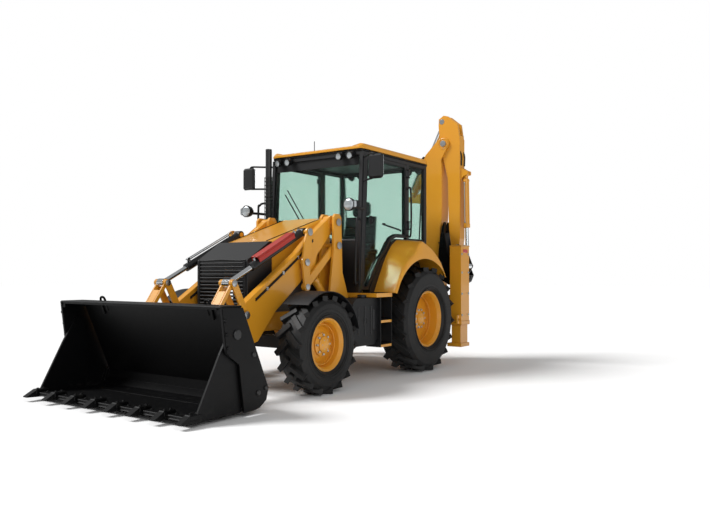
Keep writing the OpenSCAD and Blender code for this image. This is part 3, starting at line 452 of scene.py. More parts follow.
def lens(name, colour, glow):
    """Ribbed lamp glass, its ribs painted toward near-white as a painted reflection of the lamp's reflector.
    """
    f = Finish(name)
    ribs = node(f.tree, "ShaderNodeTexWave", {"Vector": f.place, "Scale": 60.0}, "Fac", bands_direction="Y")
    f.rounded(0.003, ribs, 0.3)
    # The ribs blend the lens colour toward GLARE in stripes: a painted reflection of the reflector behind
    # the glass.
    tone = f.blend(ribs * 0.35, linear(colour), GLARE)
    f.set(Base_Color=tone, Roughness=0.12, Coat_Weight=1.0, Metallic=0.35)
    return f.set(Emission_Color=linear(colour), Emission_Strength=glow)


def cloth(name, colour):
    """Woven seat cover."""
    f = Finish(name)
    weave = node(f.tree, "ShaderNodeTexWave", {"Vector": f.place, "Scale": 140.0, "Distortion": 2.0}, "Fac")
    f.rounded(0.012, weave, 0.35)
    return f.set(Base_Color=linear(colour), Roughness=weave * 0.1 + 0.8)


YELLOW = paint("yellow enamel", "#dd9a28", "#d69222")
BLACK = paint("black enamel", "#101113", "#151618", 0.46, 0.1)
BUCKET = worn_black("bucket black")
PLASTIC = plastic("black plastic", "#121315")
RUBBER = rubber("tyre rubber")
HOSE = plastic("hose rubber", "#111112", 0.5)
CHROME = metal("polished rod", "#dfe2e4", 0.10)
STEEL = metal("turned steel", "#b5b8ba", 0.32)
CASTING = metal("casting", "#6a6b6a", 0.6)
GLASS = pane("tinted glass", "#6bb096", 0.32)
MIRROR = metal("mirror glass", "#e8ecee", 0.05)
LAMP = lens("lamp glass", "#8f989c", 0.0)
AMBER = lens("amber lens", "#f08a12", 0.25)
RED_LENS = lens("red lens", "#b3140f", 0.2)
RED = paint("red enamel", "#b3281c", "#a32318")
SEAT = cloth("seat cloth", "#2a2b2e")

SLOT_FINISH = {
    "paint": YELLOW,
    "black_paint": BLACK,
    "black_plastic": PLASTIC,
    "engine_metal": CASTING,
    "rod_chrome": CHROME,
    "pin_steel": STEEL,
    "tyre_rubber": RUBBER,
    "window": GLASS,
}
NODE_FINISH = {
    "loader_bucket": BUCKET,
    "bucket_clam": BUCKET,
    "hoe_bucket": BUCKET,
    "seat": SEAT,
    "tilt_barrels": BLACK,
}
for subpart in frame["record"]["subparts"]:
    shown = frame["nodes"][subpart["node"]]
    shown.data.materials.clear()
    shown.data.materials.append(NODE_FINISH.get(subpart["node"], SLOT_FINISH[subpart["material_slot"]]))

# %% [markdown]
# ## Skins
# The hood, roof and rear mudguards are flat-sided solids in the frame. Here the same forms are drawn
# as surfaces with rounded shoulders, and stand in for those solids in the picture.

# %% Hood
HOOD_REAR = (1290, 1972)
HOOD_FRONT = (2305, 1645)
HOOD_HALF = 375
HOOD_SKIN = 18
HOOD_SHOULDER = 85
HOOD_CROWN = 10
FOOT_FRONT, FOOT_REAR, FOOT_SLOPE = 1232, 1500, 1.92
VENTS, VENT_PITCH, VENT_WIDE = 7, 62, 36


def both_halves(row):
    """A row from the left edge to the middle, carried on to the right edge."""
    return row + [[x, -y, z] for x, y, z in row[-2::-1]]


def hood_surface(inset):
    """Rows across the hood, from its left foot over the top to its right foot."""
    rows = []
    for t in np.linspace(0, 1, 15):
        x = HOOD_REAR[0] + t * (HOOD_FRONT[0] - HOOD_REAR[0])
        top = HOOD_REAR[1] + t * (HOOD_FRONT[1] - HOOD_REAR[1]) - inset
        foot = max(FOOT_FRONT, FOOT_REAR - (x - HOOD_REAR[0]) * FOOT_SLOPE)
        half = HOOD_HALF - inset
        shoulder = HOOD_SHOULDER - inset * 0.5
        row = [[x, half, foot + s * (top - shoulder - foot)] for s in np.linspace(0, 1, 5)]
        for a in np.radians(np.linspace(12, 90, 7)):
            row.append([x, half - shoulder * (1 - math.cos(a)), top - shoulder * (1 - math.sin(a))])
        for y in np.linspace(half - shoulder, 0, 7)[1:]:
            row.append([x, y, top - HOOD_CROWN * (y / half) ** 2])
        rows.append(both_halves(row))
    return np.array(rows)


hood = Piece()
hood.shell(hood_surface(0), hood_surface(HOOD_SKIN))
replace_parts(hood.build("hood_skin", YELLOW, "hood", "paint"), "hood")

trim = Piece()
for s in SIDES:
    for k in range(VENTS):
        x = 1560 + VENT_PITCH * k
        trim.block([x, s * 371, 1420], [x + VENT_WIDE, s * 378, 1560 - 16 * k], 3)
    trim.tube([[1330, s * 300, 1962], [1800, s * 296, 1812], [2290, s * 290, 1655]], 4, 8)
    trim.block([1900, s * 374, 1290], [1990, s * 382, 1330], 4)
trim.build("hood_vents", PLASTIC, "hood", "black_plastic")

# %% Roof
ROOF_LOW, ROOF_HIGH = 2836, 2910
ROOF_BAND = 2800
ROOF_X = (-630, 1056)
ROOF_HALF = 740
ROOF_RIM = 30
ROOF_BLEND = 90
ROOF_TAPER = 34
ROOF_SHOULDER = 60
ROOF_DISH = 26


def roof_surface():
    """Rows across the roof, lower at both ends and dished in the middle."""
    rows = []
    for t in np.linspace(0, 1, 33):
        x = ROOF_X[0] + t * (ROOF_X[1] - ROOF_X[0])
        end = min(x - ROOF_X[0], ROOF_X[1] - x)
        lift = math.sqrt(max(0.0, 1 - (1 - min(end, ROOF_BLEND) / ROOF_BLEND) ** 2))
        top = ROOF_LOW + ROOF_RIM + (ROOF_HIGH - ROOF_LOW - ROOF_RIM) * lift
        half = ROOF_HALF - ROOF_TAPER * (1 - lift)
        edge = 0.5 * (top - ROOF_LOW)
        row = [[x, half, ROOF_LOW], [x, half, ROOF_LOW + edge]]
        for a in np.radians(np.linspace(15, 90, 6)):
            row.append([x, half - ROOF_SHOULDER * (1 - math.cos(a)), top - edge * (1 - math.sin(a))])
        for y in np.linspace(half - ROOF_SHOULDER, 0, 8)[1:]:
            dish = max(0, min(1, (half - ROOF_BLEND - y) / 40))
            row.append([x, y, top - ROOF_DISH * lift * dish])
        rows.append(both_halves(row))
    return np.array(rows)


roof_outer = roof_surface()
roof_under = roof_outer.copy()
roof_under[:, :, 2] = ROOF_LOW
roof_under[:, 0, 1] -= 8
roof_under[:, -1, 1] += 8
roof = Piece()
roof.shell(roof_outer, roof_under)
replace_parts(roof.build("roof_skin", YELLOW, "base", "paint"), "cab_roof")

band = Piece()
band.block([ROOF_X[0] + 12, 12 - ROOF_HALF, ROOF_BAND], [ROOF_X[1] - 16, ROOF_HALF - 12, ROOF_LOW + 4], 14)
band.build("roof_band", PLASTIC, "base", "black_plastic")

# %% Rear mudguards
ARCH = np.array([90, 670])
ARCH_R = 810
GUARD_IN, GUARD_OUT = 740, 1095
GUARD_LIP = 40
LIP_FALL = 0.6 * GUARD_LIP
GUARD_T = 14
GUARD_OUTSIDE = [(-490, 1250), (-324, 1458), (-116, 1603), (84, 1685), (190, 1706), (290, 1628),
                 (373, 1540), (558, 1422), (714, 1237), (801, 1101), (830, 1054)]
GUARD_INSIDE = [(-490, 1262), (-324, 1478), (-116, 1630), (84, 1714), (223, 1733), (310, 1690),
                (385, 1640), (519, 1490), (650, 1283), (740, 1130), (782, 1054)]


def guard_surfaces(side):
    """The top runs out from the cab, turns over a lip and ends at the wheel arch."""
    inside = [np.inf, GUARD_OUT - GUARD_T, np.inf]
    outer, under = [], []
    for out, near in zip(smooth_path(GUARD_OUTSIDE, 5), smooth_path(GUARD_INSIDE, 5)):
        inward = unit(ARCH - out)
        row = []
        for t in np.linspace(0, 1, 6):
            row.append(at_y(near + t * (out - near), GUARD_IN + t * (GUARD_OUT - GUARD_LIP - GUARD_IN)))
        for a in np.radians((18, 36, 54, 72, 90)):
            fall = LIP_FALL * (1 - math.cos(a))
            row.append(at_y(out + inward * fall, GUARD_OUT - GUARD_LIP * (1 - math.sin(a))))
        reach = max(np.linalg.norm(out - ARCH), ARCH_R + 4)
        foot = out + inward * max(reach - ARCH_R, LIP_FALL + 4)
        below = [np.minimum(p + at_y(inward * GUARD_T, 0), inside) for p in row]
        outer.append(flip(row + [at_y(foot, GUARD_OUT)], side))
        under.append(flip(below + [at_y(foot, GUARD_OUT - GUARD_T)], side))
    return outer, under


guards = Piece()
for s in SIDES:
    guards.shell(*guard_surfaces(s))
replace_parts(guards.build("rear_mudguard_skin", YELLOW, "base", "paint"), "rear_fenders")

# %% [markdown]
# ## Wheels
# Each wheel gets its nuts, a hub cover, and beads and ribs on its tyre. They ride on the wheel's own
# body, so they turn with it.

# %% Wheel fittings
REAR_WHEEL = {"at": (0, 900, 688), "rim": 368, "wide": 440, "hub": 60, "ring": 118, "nuts": 10, "nut": 15}
FRONT_WHEEL = {"at": (2200, 955, 530), "rim": 285, "wide": 330, "hub": 80, "ring": 104, "nuts": 8, "nut": 13}
RIM_LIP, WALL_BEADS, WALL_RIBS = 0.39, 0.487, 0.482
RIBS = 36


def dress_wheel(name, side, size):
    """A wheel's hub cover, nuts, and the beads and ribs on the walls of its tyre."""
    middle = flip(size["at"], side)
    axis = side * Y_AXIS
    face = middle + axis * size["hub"]
    yellow, bright, beads = pieces(3)
    yellow.turn([[88, -2], [88, 10], [70, 26], [30, 34], [0, 35]], face, axis)
    yellow.hoop(middle + axis * size["wide"] * RIM_LIP, axis, size["rim"] - 12, 9, 56)
    yellow.hoop(middle + axis * (size["hub"] - 24), axis, size["rim"] - 70, 6, 48)
    bright.nut_ring(face - axis * 20, axis, size["ring"], size["nuts"], size["nut"], 24)
    bright.nut_ring(face + axis * 22, axis, 56, 6, 7, 8)
    for wall in (WALL_BEADS, -WALL_BEADS):
        for wider in (36, 60, 96):
            beads.hoop(middle + axis * size["wide"] * wall, axis, size["rim"] + wider, 7, 64)
    for out in circle(*across(axis), RIBS):
        start = middle + axis * size["wide"] * WALL_RIBS + out * (size["rim"] + 104)
        beads.bar([start, start + out * 46 - axis * 3], 5, 6)
    yellow.build(name + "_hub", YELLOW, name, "paint")
    bright.build(name + "_nuts", STEEL, name, "pin_steel")
    beads.build(name + "_beads", RUBBER, name, "tyre_rubber")


for axle, wheel in (("rear", REAR_WHEEL), ("front", FRONT_WHEEL)):
    for hand, s in zip(("left", "right"), SIDES):
        dress_wheel(f"{hand}_{axle}_wheel", s, wheel)

# %% [markdown]
# ## Cab
# Rubber seals frame the panes, and the fittings that a driver touches are added: handles, rails,
# wiper, levers and lamps.

# %% Cab seals and fittings
CAB_REAR, SILL, GLASS_TOP = -560, 1050, 2754
PILLAR_FOOT, PILLAR_LEAN, PILLAR_WIDE = 1120, 0.0523, 66
CORNER_RUN, CORNER_CUT = 26, 8
DOOR_MARGIN = 38


def pillar_x(z):
    """The front pillar's line, which leans back as it rises."""
    return PILLAR_FOOT - PILLAR_LEAN * (z - SILL)


def ring_path(corners):
    """A closed run of straight bars with short corner cuts."""
    corners = np.asarray(corners, float)
    out = []
    for before, here, after in zip(np.roll(corners, 1, 0), corners, np.roll(corners, -1, 0)):
        back, ahead = unit(before - here), unit(after - here)
        out += [here + CORNER_RUN * back, here + CORNER_CUT * (back + ahead), here + CORNER_RUN * ahead]
    return np.array(out + out[:1])


def door_line(m, y):
    """The door's outline, m inside its edge: sill, pillar, head, rear edge and the curve of the arch."""
    low, top = SILL + 35 + m, GLASS_TOP - m
    front = [(890 + m, low), (pillar_x(1085) - PILLAR_WIDE - m, low)]
    head = [(pillar_x(GLASS_TOP) - PILLAR_WIDE - m, top), (m - 9, top), (m - 9, 1765 + m)]
    arch = [(250 + m / 2, 1765 + m), (380 + m * 0.7, 1720 + m * 0.8), (510 + m * 0.7, 1560 + m * 0.75),
            (665 + m * 0.75, 1440 + m * 0.7), (805 + m * 0.85, 1250 + m * 0.6)]
    return [at_y(p, y) for p in front + head + arch]


def on_screen(z, y, out):
    """A point before the windscreen, out from the pillar's line."""
    return [pillar_x(z) + out, y, z]


seals = Piece()
rear_x = CAB_REAR + 12
windscreen = [on_screen(1706, 684, -28), on_screen(GLASS_TOP, 684, -28), on_screen(GLASS_TOP, -684, -28),
              on_screen(1706, -684, -28)]
rear_pane = [[rear_x, 616, 1506], [rear_x, 684, GLASS_TOP], [rear_x, -684, GLASS_TOP], [rear_x, -616, 1506]]
quarter_pane = [(-494, 1752), (-81, 1752), (-81, GLASS_TOP), (-494, GLASS_TOP)]
seals.bar(ring_path(windscreen), 11)
seals.bar(ring_path(rear_pane), 11)
for s in SIDES:
    seals.bar(ring_path([at_y(p, s * 724) for p in quarter_pane]), 9)
    seals.bar([on_screen(1100, s * 743, -20), on_screen(2740, s * 743, -20)], 6)
# A black band across the top of the windscreen stands for the cab ceiling seen through the tinted glass. It
# is drawn black as painted shade of the cab's dark inside.
painted_shade_x = pillar_x(2740)
seals.block([painted_shade_x - 26, -670, 2640], [painted_shade_x - 18, 670, 2752], 3)
wiper_foot = np.array([pillar_x(1720) + 6, -30, 1716])
seals.turn([[0, -10], [26, -10], [26, 22], [14, 34], [0, 36]], wiper_foot, [1, 0, 0.1], 16)
seals.tube([wiper_foot + 24 * X_AXIS, on_screen(1980, -225, 14), on_screen(2330, -489, 8)], 8, 8)
seals.bar([on_screen(1900, -110, -12), on_screen(2390, -470, -12)], 7, 6)
seals.build("cab_seals", PLASTIC, "base", "black_plastic")

for s, body in zip(SIDES, ("left_door", "right_door")):
    door = Piece()
    for y in (s * 737, s * 700):
        door.bar(ring_path(door_line(DOOR_MARGIN, y)), 8)
    door.block([830, s * 738, 1900], [900, s * 752, 2010], 8)
    door.tube([[850, s * 748, 1918], [850, s * 776, 1930], [850, s * 776, 1980], [850, s * 748, 1992]], 8, 8)
    door.tube([[60, s * 690, 1860], [60, s * 655, 1880], [420, s * 650, 1930], [440, s * 690, 1930]], 12, 8)
    door.build(body + "_fittings", PLASTIC, body, "black_plastic")

# %% Mirrors, lamps and rails
MIRROR_AT = np.array([1182, 1031, 2567])
MIRROR_HALF = np.array([28, 106, 148])
LAMP_AT = np.array([1416, 826, 2101])
WORK_LAMP_Z = 2748
STEP_RAIL = [(pillar_x(1250) + 12, 715, 1180), (1190, 735, 1220), (1160, 735, 1900), on_screen(1960, 715, 8)]
REAR_RAIL = [(-20, 742, 1800), (-48, 786, 1830), (-48, 786, 2400), (-20, 742, 2430)]
FRONT_RAIL = [(1290, -760, 1000), (1290, -760, 1500), (1290, -760, 2120), (1268, -757, 2184),
              (1210, -752, 2218), on_screen(2236, -744, -24)]

black, bright_lamps, silvered, amber, red = pieces(5)
for s in SIDES:
    # The mirror on its two bent tubes.
    centre = flip(MIRROR_AT, s)
    black.block(centre - MIRROR_HALF, centre + MIRROR_HALF, 27)
    silvered.block(centre - [29, 90, 132], centre - [25, -90, -132], 2)
    for z, end in ((2428, -130), (2726, 130)):
        elbow = centre + [0, -s * 50, z - MIRROR_AT[2]]
        black.tube([flip(on_screen(z, 752, -25), s), flip([1120, 880, z], s), elbow,
                    centre + [0, -s * 20, end]], 12)
    # The road lamp, with the indicator's housing beside it.
    lamp = flip(LAMP_AT, s)
    black.turn([[0, -70], [40, -66], [66, -30], [76, 10], [78, 40], [70, 44]], lamp, X_AXIS, 32)
    bright_lamps.turn([[70, 40], [60, 50], [30, 58], [0, 60]], lamp, X_AXIS, 32)
    black.block(lamp + [-40, s * 52, -46], lamp + [30, s * 112, 46], 12)
    bright_lamps.block(lamp + [28, s * 58, -38], lamp + [38, s * 106, 38], 6)
    bracket = flip([pillar_x(2080) - 25, 758, 2078], s)
    black.tube([bracket, flip([1250, 800, 2082], s), lamp - [40, 0, 20]], 17)
    # Work lamps under the ends of the roof.
    for y in (590, 420):
        for x, way in ((1105, [1, 0, -0.15]), (-610, [-1, 0, -0.2])):
            spot = flip([x, y, WORK_LAMP_Z], s)
            black.turn([[0, -60], [38, -56], [48, -16], [50, 14], [42, 16]], spot, way, 24)
            bright_lamps.turn([[43, 6], [30, 12], [0, 14]], spot, way, 24)
        black.block(flip([1010, y - 40, 2760], s), flip([1090, y + 40, 2800], s), 6)
        black.block(flip([-630, y - 40, 2770], s), flip([-560, y + 40, 2800], s), 6)
    # Tail lamps, and the rails beside the doors.
    red.block(flip([-612, 800, 1330], s), flip([-596, 900, 1440], s), 8)
    amber.block(flip([-612, 910, 1330], s), flip([-596, 960, 1440], s), 8)
    black.block(flip([-604, 790, 1320], s), flip([-560, 970, 1450], s), 8)
    black.tube(flip(STEP_RAIL, s), 14)
    black.tube(flip(REAR_RAIL, s), 13)
black.bar([[950, -85, 2880], [950, -85, 3015]], 5)
black.tube(FRONT_RAIL, 14)
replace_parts(black.build("mirror_and_lamp_housings", PLASTIC, "base", "black_plastic"), "mirrors_and_lamps")
bright_lamps.build("lamp_lenses", LAMP, "base", "window")
silvered.build("mirror_faces", MIRROR, "base", "window")
amber.build("indicator_lenses", AMBER, "base", "window")
red.build("tail_lenses", RED_LENS, "base", "window")

# %% Cab inside
cushions = Piece()
cushions.block([28, -258, 1374], [552, 258, 1492], 34)
for t in np.linspace(0.1, 0.9, 5):
    z = 1480 + t * 560
    x = 100 - t * 84
    cushions.block([x - 74, -246, z - 64], [x + 38, 246, z + 64], 28)
cushions.block([-60, -150, 2090], [24, 150, 2290], 34)
for s in SIDES:
    cushions.block([52, s * 250, 1552], [410, s * 326, 1620], 18)
cushions.build("seat_cushions", SEAT, "base", "black_plastic")

controls = Piece()
for s in SIDES:
    controls.tube([[330, s * 300, 1610], [350, s * 300, 1680], [362, s * 300, 1720]], 11, 10)
    controls.turn([[0, 0], [22, 4], [28, 40], [24, 90], [0, 104]], [362, s * 300, 1716], [0.15, 0, 1], 20)
    for x in (-180, -90, 0):
        controls.bar([[x, s * 500, 1495], [x - 4, s * 500, 1640]], 7)
        controls.turn([[0, 0], [18, 6], [20, 28], [0, 44]], [x - 4, s * 500, 1636], Z_AXIS, 16)
controls.block([880, -330, 1560], [1010, 330, 1690], 26)
controls.block([-540, -640, 1500], [-440, 640, 1530], 10)
controls.build("cab_controls", PLASTIC, "base", "black_plastic")

# %% [markdown]
# ## Loader
# Pins get heads, the cylinders get glands and ports, a web closes each pair of tilt links, and hoses
# run along the arms. Pivots are points of the side view, [x, z].

# %% Loader fittings
ARM_Y = 500
TOWER_Y = 638
ARM_PIVOT = (1400, 1900)
LEVEL_PIVOT = (1385, 1622)
LIFT_FOOT = (1000, 500)
CRANK_PIVOT, CRANK_TOP, CRANK_LOW = (1975, 1415), (1920, 1760), (1960, 1137)
LEVER_PIVOT, LEVER_TOP = (2918, 862), (3092, 1189)
LINK_LOW = (3414, 727)
BUCKET_HINGE = (3240, 400)
ARM_EDGE = [(1440, 1962), (1800, 1716), (2050, 1516), (2870, 986)]
HOSE_RUN = [(1780, 1680), (1900, 1588), (2040, 1478), (2300, 1304), (2560, 1136), (2740, 1020)]

arm_paint, arm_bright, arm_hose = pieces(3)
for s in SIDES:
    for pivot, r in ((ARM_PIVOT, 72), (BUCKET_HINGE, 58), (LEVER_PIVOT, 62)):
        for y in (ARM_Y - 46, ARM_Y + 46):
            arm_paint.hoop(at_y(pivot, s * y), Y_AXIS, r, 8, 40)
    arm_bright.turn([[34, 0], [40, 4], [40, 14], [0, 18]], at_y(CRANK_PIVOT, s * 620), s * Y_AXIS, 24)
    for y in (ARM_Y - 38, ARM_Y + 38):
        arm_paint.tube([at_y(p, s * y) for p in ARM_EDGE], 7, 8)
    for y in (ARM_Y - 52, ARM_Y + 52):
        for drop in (0, 17):
            arm_hose.tube([at_y((x, z - drop), s * y) for x, z in HOSE_RUN], 7, 8)
        for x, z in HOSE_RUN[1:-1]:
            arm_bright.block([x - 16, s * (y - 7), z - 30], [x + 16, s * (y + 7), z + 13], 4)
    arm_paint.hoop([2850, s * 452, 700], Y_AXIS, 68, 10, 36)
arm_paint.build("arm_beads", YELLOW, "loader_arms", "paint")
arm_bright.build("arm_clips", STEEL, "loader_arms", "pin_steel")
arm_hose.build("arm_hoses", HOSE, "loader_arms", "black_plastic")

crank_caps = Piece()
for s in SIDES:
    crank_caps.turn([[36, 0], [42, 4], [42, 12], [0, 14]], at_y(CRANK_TOP, s * 617), s * Y_AXIS, 24)
    crank_caps.turn([[30, 0], [34, 4], [34, 10], [0, 12]], at_y(CRANK_LOW, s * 617), s * Y_AXIS, 24)
crank_caps.build("crank_caps", STEEL, "bellcranks", "pin_steel")


def pin_heads(name, body, point, radius, reach=96, height=14):
    """Round heads on both ends of a pin in each arm."""
    collar = radius + 10
    profile = [[radius + 4, 0], [collar, 3], [collar, height - 4], [radius - 4, height], [0, height]]
    heads = Piece()
    for s in SIDES:
        for way in SIDES:
            heads.turn(profile, at_y(point, s * (ARM_Y + way * reach)), s * way * Y_AXIS, 28)
    heads.build(name, STEEL, body, "pin_steel")


pin_heads("lever_pin_heads", "lever_pins", LEVER_PIVOT, 30)
pin_heads("bucket_pin_heads", "bucket_pins", BUCKET_HINGE, 40, 126)
pin_heads("lever_top_heads", "lever_top_pins", LEVER_TOP, 25, height=8)

link_way = unit(np.subtract(LINK_LOW, LEVER_TOP))
link_front = np.array([-link_way[1], link_way[0]])
web = [LEVER_TOP + link_way * d + link_front * t for d, t in ((110, 20), (440, 20), (440, 8), (110, 8))]
webs = Piece()
for s in SIDES:
    webs.plate(web, "y", s * ARM_Y - 47, s * ARM_Y + 47)
webs.build("tilt_link_webs", YELLOW, "tilt_links", "paint")

# %% Loader cylinders
tilt_way = unit([LEVER_TOP[0] - CRANK_TOP[0], 0, LEVER_TOP[1] - CRANK_TOP[1]])
tilt_up = np.array([-tilt_way[2], 0, tilt_way[0]])
lift_way = unit([800, 0, 830])


def on_tilt(side, distance, height):
    """A point over a tilt cylinder: along it from its foot, and above its axis."""
    return at_y(CRANK_TOP, side * ARM_Y) + tilt_way * distance + tilt_up * height


ports = Piece()
for s in SIDES:
    for start in (120, 850):
        ports.turn([[14, 0], [14, 24], [0, 26]], on_tilt(s, start, 40), tilt_up, 12)
    ports.tube([on_tilt(s, d, h) for d, h in ((850, 60), (780, 66), (200, 64), (120, 70))], 8, 8)
ports.build("tilt_ports", STEEL, "tilt_barrels", "pin_steel")

brace = Piece()
low, high = on_tilt(1, 190, 52), on_tilt(1, 830, 52)
for y in (-46, 46):
    brace.bar([low + y * Y_AXIS, high + y * Y_AXIS], 10)
top_rows = [[p + y * Y_AXIS + tilt_up * 26 for y in (-54, -30, 0, 30, 54)] for p in (low, high)]
brace.shell(top_rows, np.array(top_rows) - tilt_up * 12)
for s in SIDES:
    side_rows = [[p - s * 52 * Y_AXIS + tilt_up * h for h in (-40, 0, 26)] for p in (low, high)]
    brace.shell(side_rows, np.array(side_rows) + s * 6 * Y_AXIS)
brace.build("arm_brace", RED, "tilt_barrels", "paint")

gauge = Piece()
gauge.bar([on_tilt(-1, 100, 84), on_tilt(-1, 900, 84)], 7)
for d in (140, 860):
    gauge.block(on_tilt(-1, d, 40) - [8, 8, 0], on_tilt(-1, d, 92) + [8, 8, 0], 3)
gauge.build("level_gauge", CHROME, "tilt_barrels", "rod_chrome")

glands = Piece()
for s in SIDES:
    gland_at = at_y(LIFT_FOOT, s * ARM_Y) + lift_way * 955
    glands.turn([[45, 0], [53, 4], [53, 46], [46, 54], [26, 56]], gland_at, lift_way, 32)
glands.build("lift_glands", YELLOW, "lift_barrels", "paint")

# %% Loader bucket fittings
BUCKET_SIDE = 1203
TEETH = 8
TEETH_SPAN = 2 * 1171 - 70
TOOTH_PITCH = TEETH_SPAN / (TEETH - 1)
RIB = [(3604, 975), (3300, 300), (3262, 260), (3240, 330), (3560, 950)]
SIDE_CUTTER = [(3856, 985), (3806, 600), (3770, 575), (3770, 640), (3820, 975)]

bucket, bucket_bright = pieces(2)
for y in np.linspace(-1000, 1000, 7):
    bucket.plate(RIB, "y", y - 8, y + 8)
bucket.block([3600, -1195, 984], [3866, 1195, 1004], 8)
for s in SIDES:
    for x, z, r in ((3672, 749, 46), (3460, 553, 24), (3299, 229, 22), (3401, 199, 24)):
        head = [[r, 0], [r, 8], [r - 8, 14], [0, 15]]
        bucket_bright.turn(head, [x, s * BUCKET_SIDE, z], s * Y_AXIS, 24)
    bucket.plate(SIDE_CUTTER, "y", s * BUCKET_SIDE, s * (BUCKET_SIDE + 8))
    for x, z in ((3795, 640), (3812, 760), (3832, 880)):
        bucket.nut([x, s * (BUCKET_SIDE + 6), z], s * Y_AXIS, 13, 14)
    handle = [(3590, 820, 860), (3640, 820, 1020), (3640, 760, 1030), (3590, 760, 900)]
    bucket.tube(flip(handle, s), 12)
bucket.build("bucket_ribs", BUCKET, "loader_bucket", "black_paint")
bucket_bright.build("bucket_pins_heads", BLACK, "loader_bucket", "black_paint")

clam, clam_edge = pieces(2)
for k in range(TEETH):
    y = k * TOOTH_PITCH - TEETH_SPAN / 2
    clam.block([4050, y - 40, 60], [4190, y + 40, 116], 10)
    for x in (4085, 4150):
        clam.nut([x, y, 112], Z_AXIS, 13, 14)
    if k < TEETH - 1:
        clam_edge.block([4060, y + 46, 60], [4165, y + TOOTH_PITCH - 46, 86], 6)
        for part in (0.3, 0.7):
            clam.nut([4100, y + part * TOOTH_PITCH, 86], Z_AXIS, 12, 10)
clam.build("tooth_adapters", BUCKET, "bucket_clam", "black_paint")
clam_edge.build("cutting_edge", BUCKET, "bucket_clam", "black_paint")

# %% [markdown]
# ## Backhoe
# The digging arm lies folded, swung to the left. Its parts are drawn in the plane of the boom: `out`
# is the distance from the swing axis and `side` the distance from the boom's middle plane.

# %% Boom and stick fittings
SWING = (-1270, 350)
BOOM_BACK = [(118, 960), (60, 1500), (12, 1967), (-36, 2391), (-54, 2840), (40, 3070)]
BOOM_FRONT = [(284, 1000), (281, 1928), (303, 2080), (311, 2374), (307, 2819), (296, 2970)]
BOOM_HOSE = [(150, 1090), (110, 1300), (40, 2000), (10, 2240), (60, 2420), (110, 2700), (150, 2960),
             (230, 3090)]
STICK_OUTER = [(594, 3280), (594, 3080), (594, 1820)]
STICK_INNER = [(306, 3100), (402, 2700), (421, 2000), (474, 1600)]
STICK_HOSE = [(420, 3300), (500, 3200), (606, 3060), (612, 2880)]
BOOM_SIDE, STICK_SIDE = 104, 75


def hoe(out, side, z):
    """A point of the digging arm."""
    return np.array([SWING[0] + side, SWING[1] + out, z], float)


def hoe_run(points, side):
    """A run of points, [out, z], at one distance from the middle plane."""
    return [hoe(u, side, z) for u, z in points]


boom_paint, boom_bright, boom_hose = pieces(3)
for s in SIDES:
    for u, z in ((200, 830), (337, 3224)):
        boom_paint.hoop(hoe(u, s * BOOM_SIDE, z), X_AXIS, 74, 8, 40)
        head_at = hoe(u, s * (BOOM_SIDE + 2), z)
        boom_bright.turn([[34, 0], [46, 4], [46, 12], [0, 16]], head_at, s * X_AXIS, 28)
    for line in (BOOM_BACK, BOOM_FRONT):
        boom_paint.tube(hoe_run(line, s * BOOM_SIDE * 0.98), 6, 8)
    boom_bright.turn([[22, 0], [30, 4], [30, 10], [0, 12]], hoe(20, s * BOOM_SIDE, 2300), s * X_AXIS, 24)
    boom_hose.tube(hoe_run(BOOM_HOSE, -s * 72), 9, 8)
for z, u in ((1500, 86), (2050, 40), (2800, 128)):
    boom_bright.block(hoe(u - 26, -80, z - 12), hoe(u - 12, 80, z + 12), 3)
boom_paint.build("boom_beads", YELLOW, "boom", "paint")
boom_bright.build("boom_pin_heads", STEEL, "boom", "pin_steel")
boom_hose.build("boom_hoses", HOSE, "boom", "black_plastic")

stick_paint, stick_bright, stick_hose = pieces(3)
for s in SIDES:
    stick_paint.hoop(hoe(535, s * STICK_SIDE, 1380), X_AXIS, 60, 8, 36)
    for line in (STICK_OUTER, STICK_INNER):
        stick_paint.tube(hoe_run(line, s * STICK_SIDE * 0.96), 6, 8)
    stick_bright.turn([[30, 0], [40, 1], [40, 3], [0, 4]], hoe(300, s * STICK_SIDE, 3560), s * X_AXIS, 24)
    ear_at = hoe(574, s * (STICK_SIDE + 27), 1672)
    stick_bright.turn([[26, 0], [36, 4], [36, 10], [0, 12]], ear_at, s * X_AXIS, 24)
    stick_hose.tube(hoe_run(STICK_HOSE, -s * 52), 10, 8)
stick_paint.build("stick_beads", YELLOW, "stick", "paint")
stick_bright.build("stick_pin_heads", STEEL, "stick", "pin_steel")
stick_hose.build("stick_hoses", HOSE, "stick", "black_plastic")

# %% Backhoe cylinders and bucket
HOE_RAMS = {
    "boom_barrel": {"foot": (60, 1040), "eye": (20, 2300), "r": 60, "near": 90, "far": 1090},
    "stick_barrel": {"foot": (-260, 2420), "eye": (300, 3560), "r": 52, "near": 76, "far": 640},
    "curl_barrel": {"foot": (660, 2760), "eye": (681, 1397), "r": 45, "near": 80, "far": 800},
}


def ram_line(ram):
    """A cylinder's foot and its direction."""
    foot, eye = ram["foot"], ram["eye"]
    return hoe(foot[0], 0, foot[1]), unit([0, eye[0] - foot[0], eye[1] - foot[1]])


for body, ram in HOE_RAMS.items():
    root, way = ram_line(ram)
    r, near, far = ram["r"], ram["near"], ram["far"]
    gland, pipe = pieces(2)
    gland.turn([[r, 0], [r + 5, 4], [r + 5, 50], [r, 58], [32, 60]], root + way * (far - 58), way, 32)
    gland.turn([[r, 0], [r + 5, 4], [r + 5, 30], [r, 34]], root + way * (near + 10), way, 32)
    gland.build(body + "_gland", YELLOW, body, "paint")
    ends = [root + way * d for d in (near + 60, far - 80)]
    for end in ends:
        pipe.turn([[12, 0], [12, 22], [0, 24]], end + (r - 4) * X_AXIS, X_AXIS, 12)
    pipe.bar([end + (r + 14) * X_AXIS for end in ends], 8)
    pipe.build(body + "_line", STEEL, body, "pin_steel")

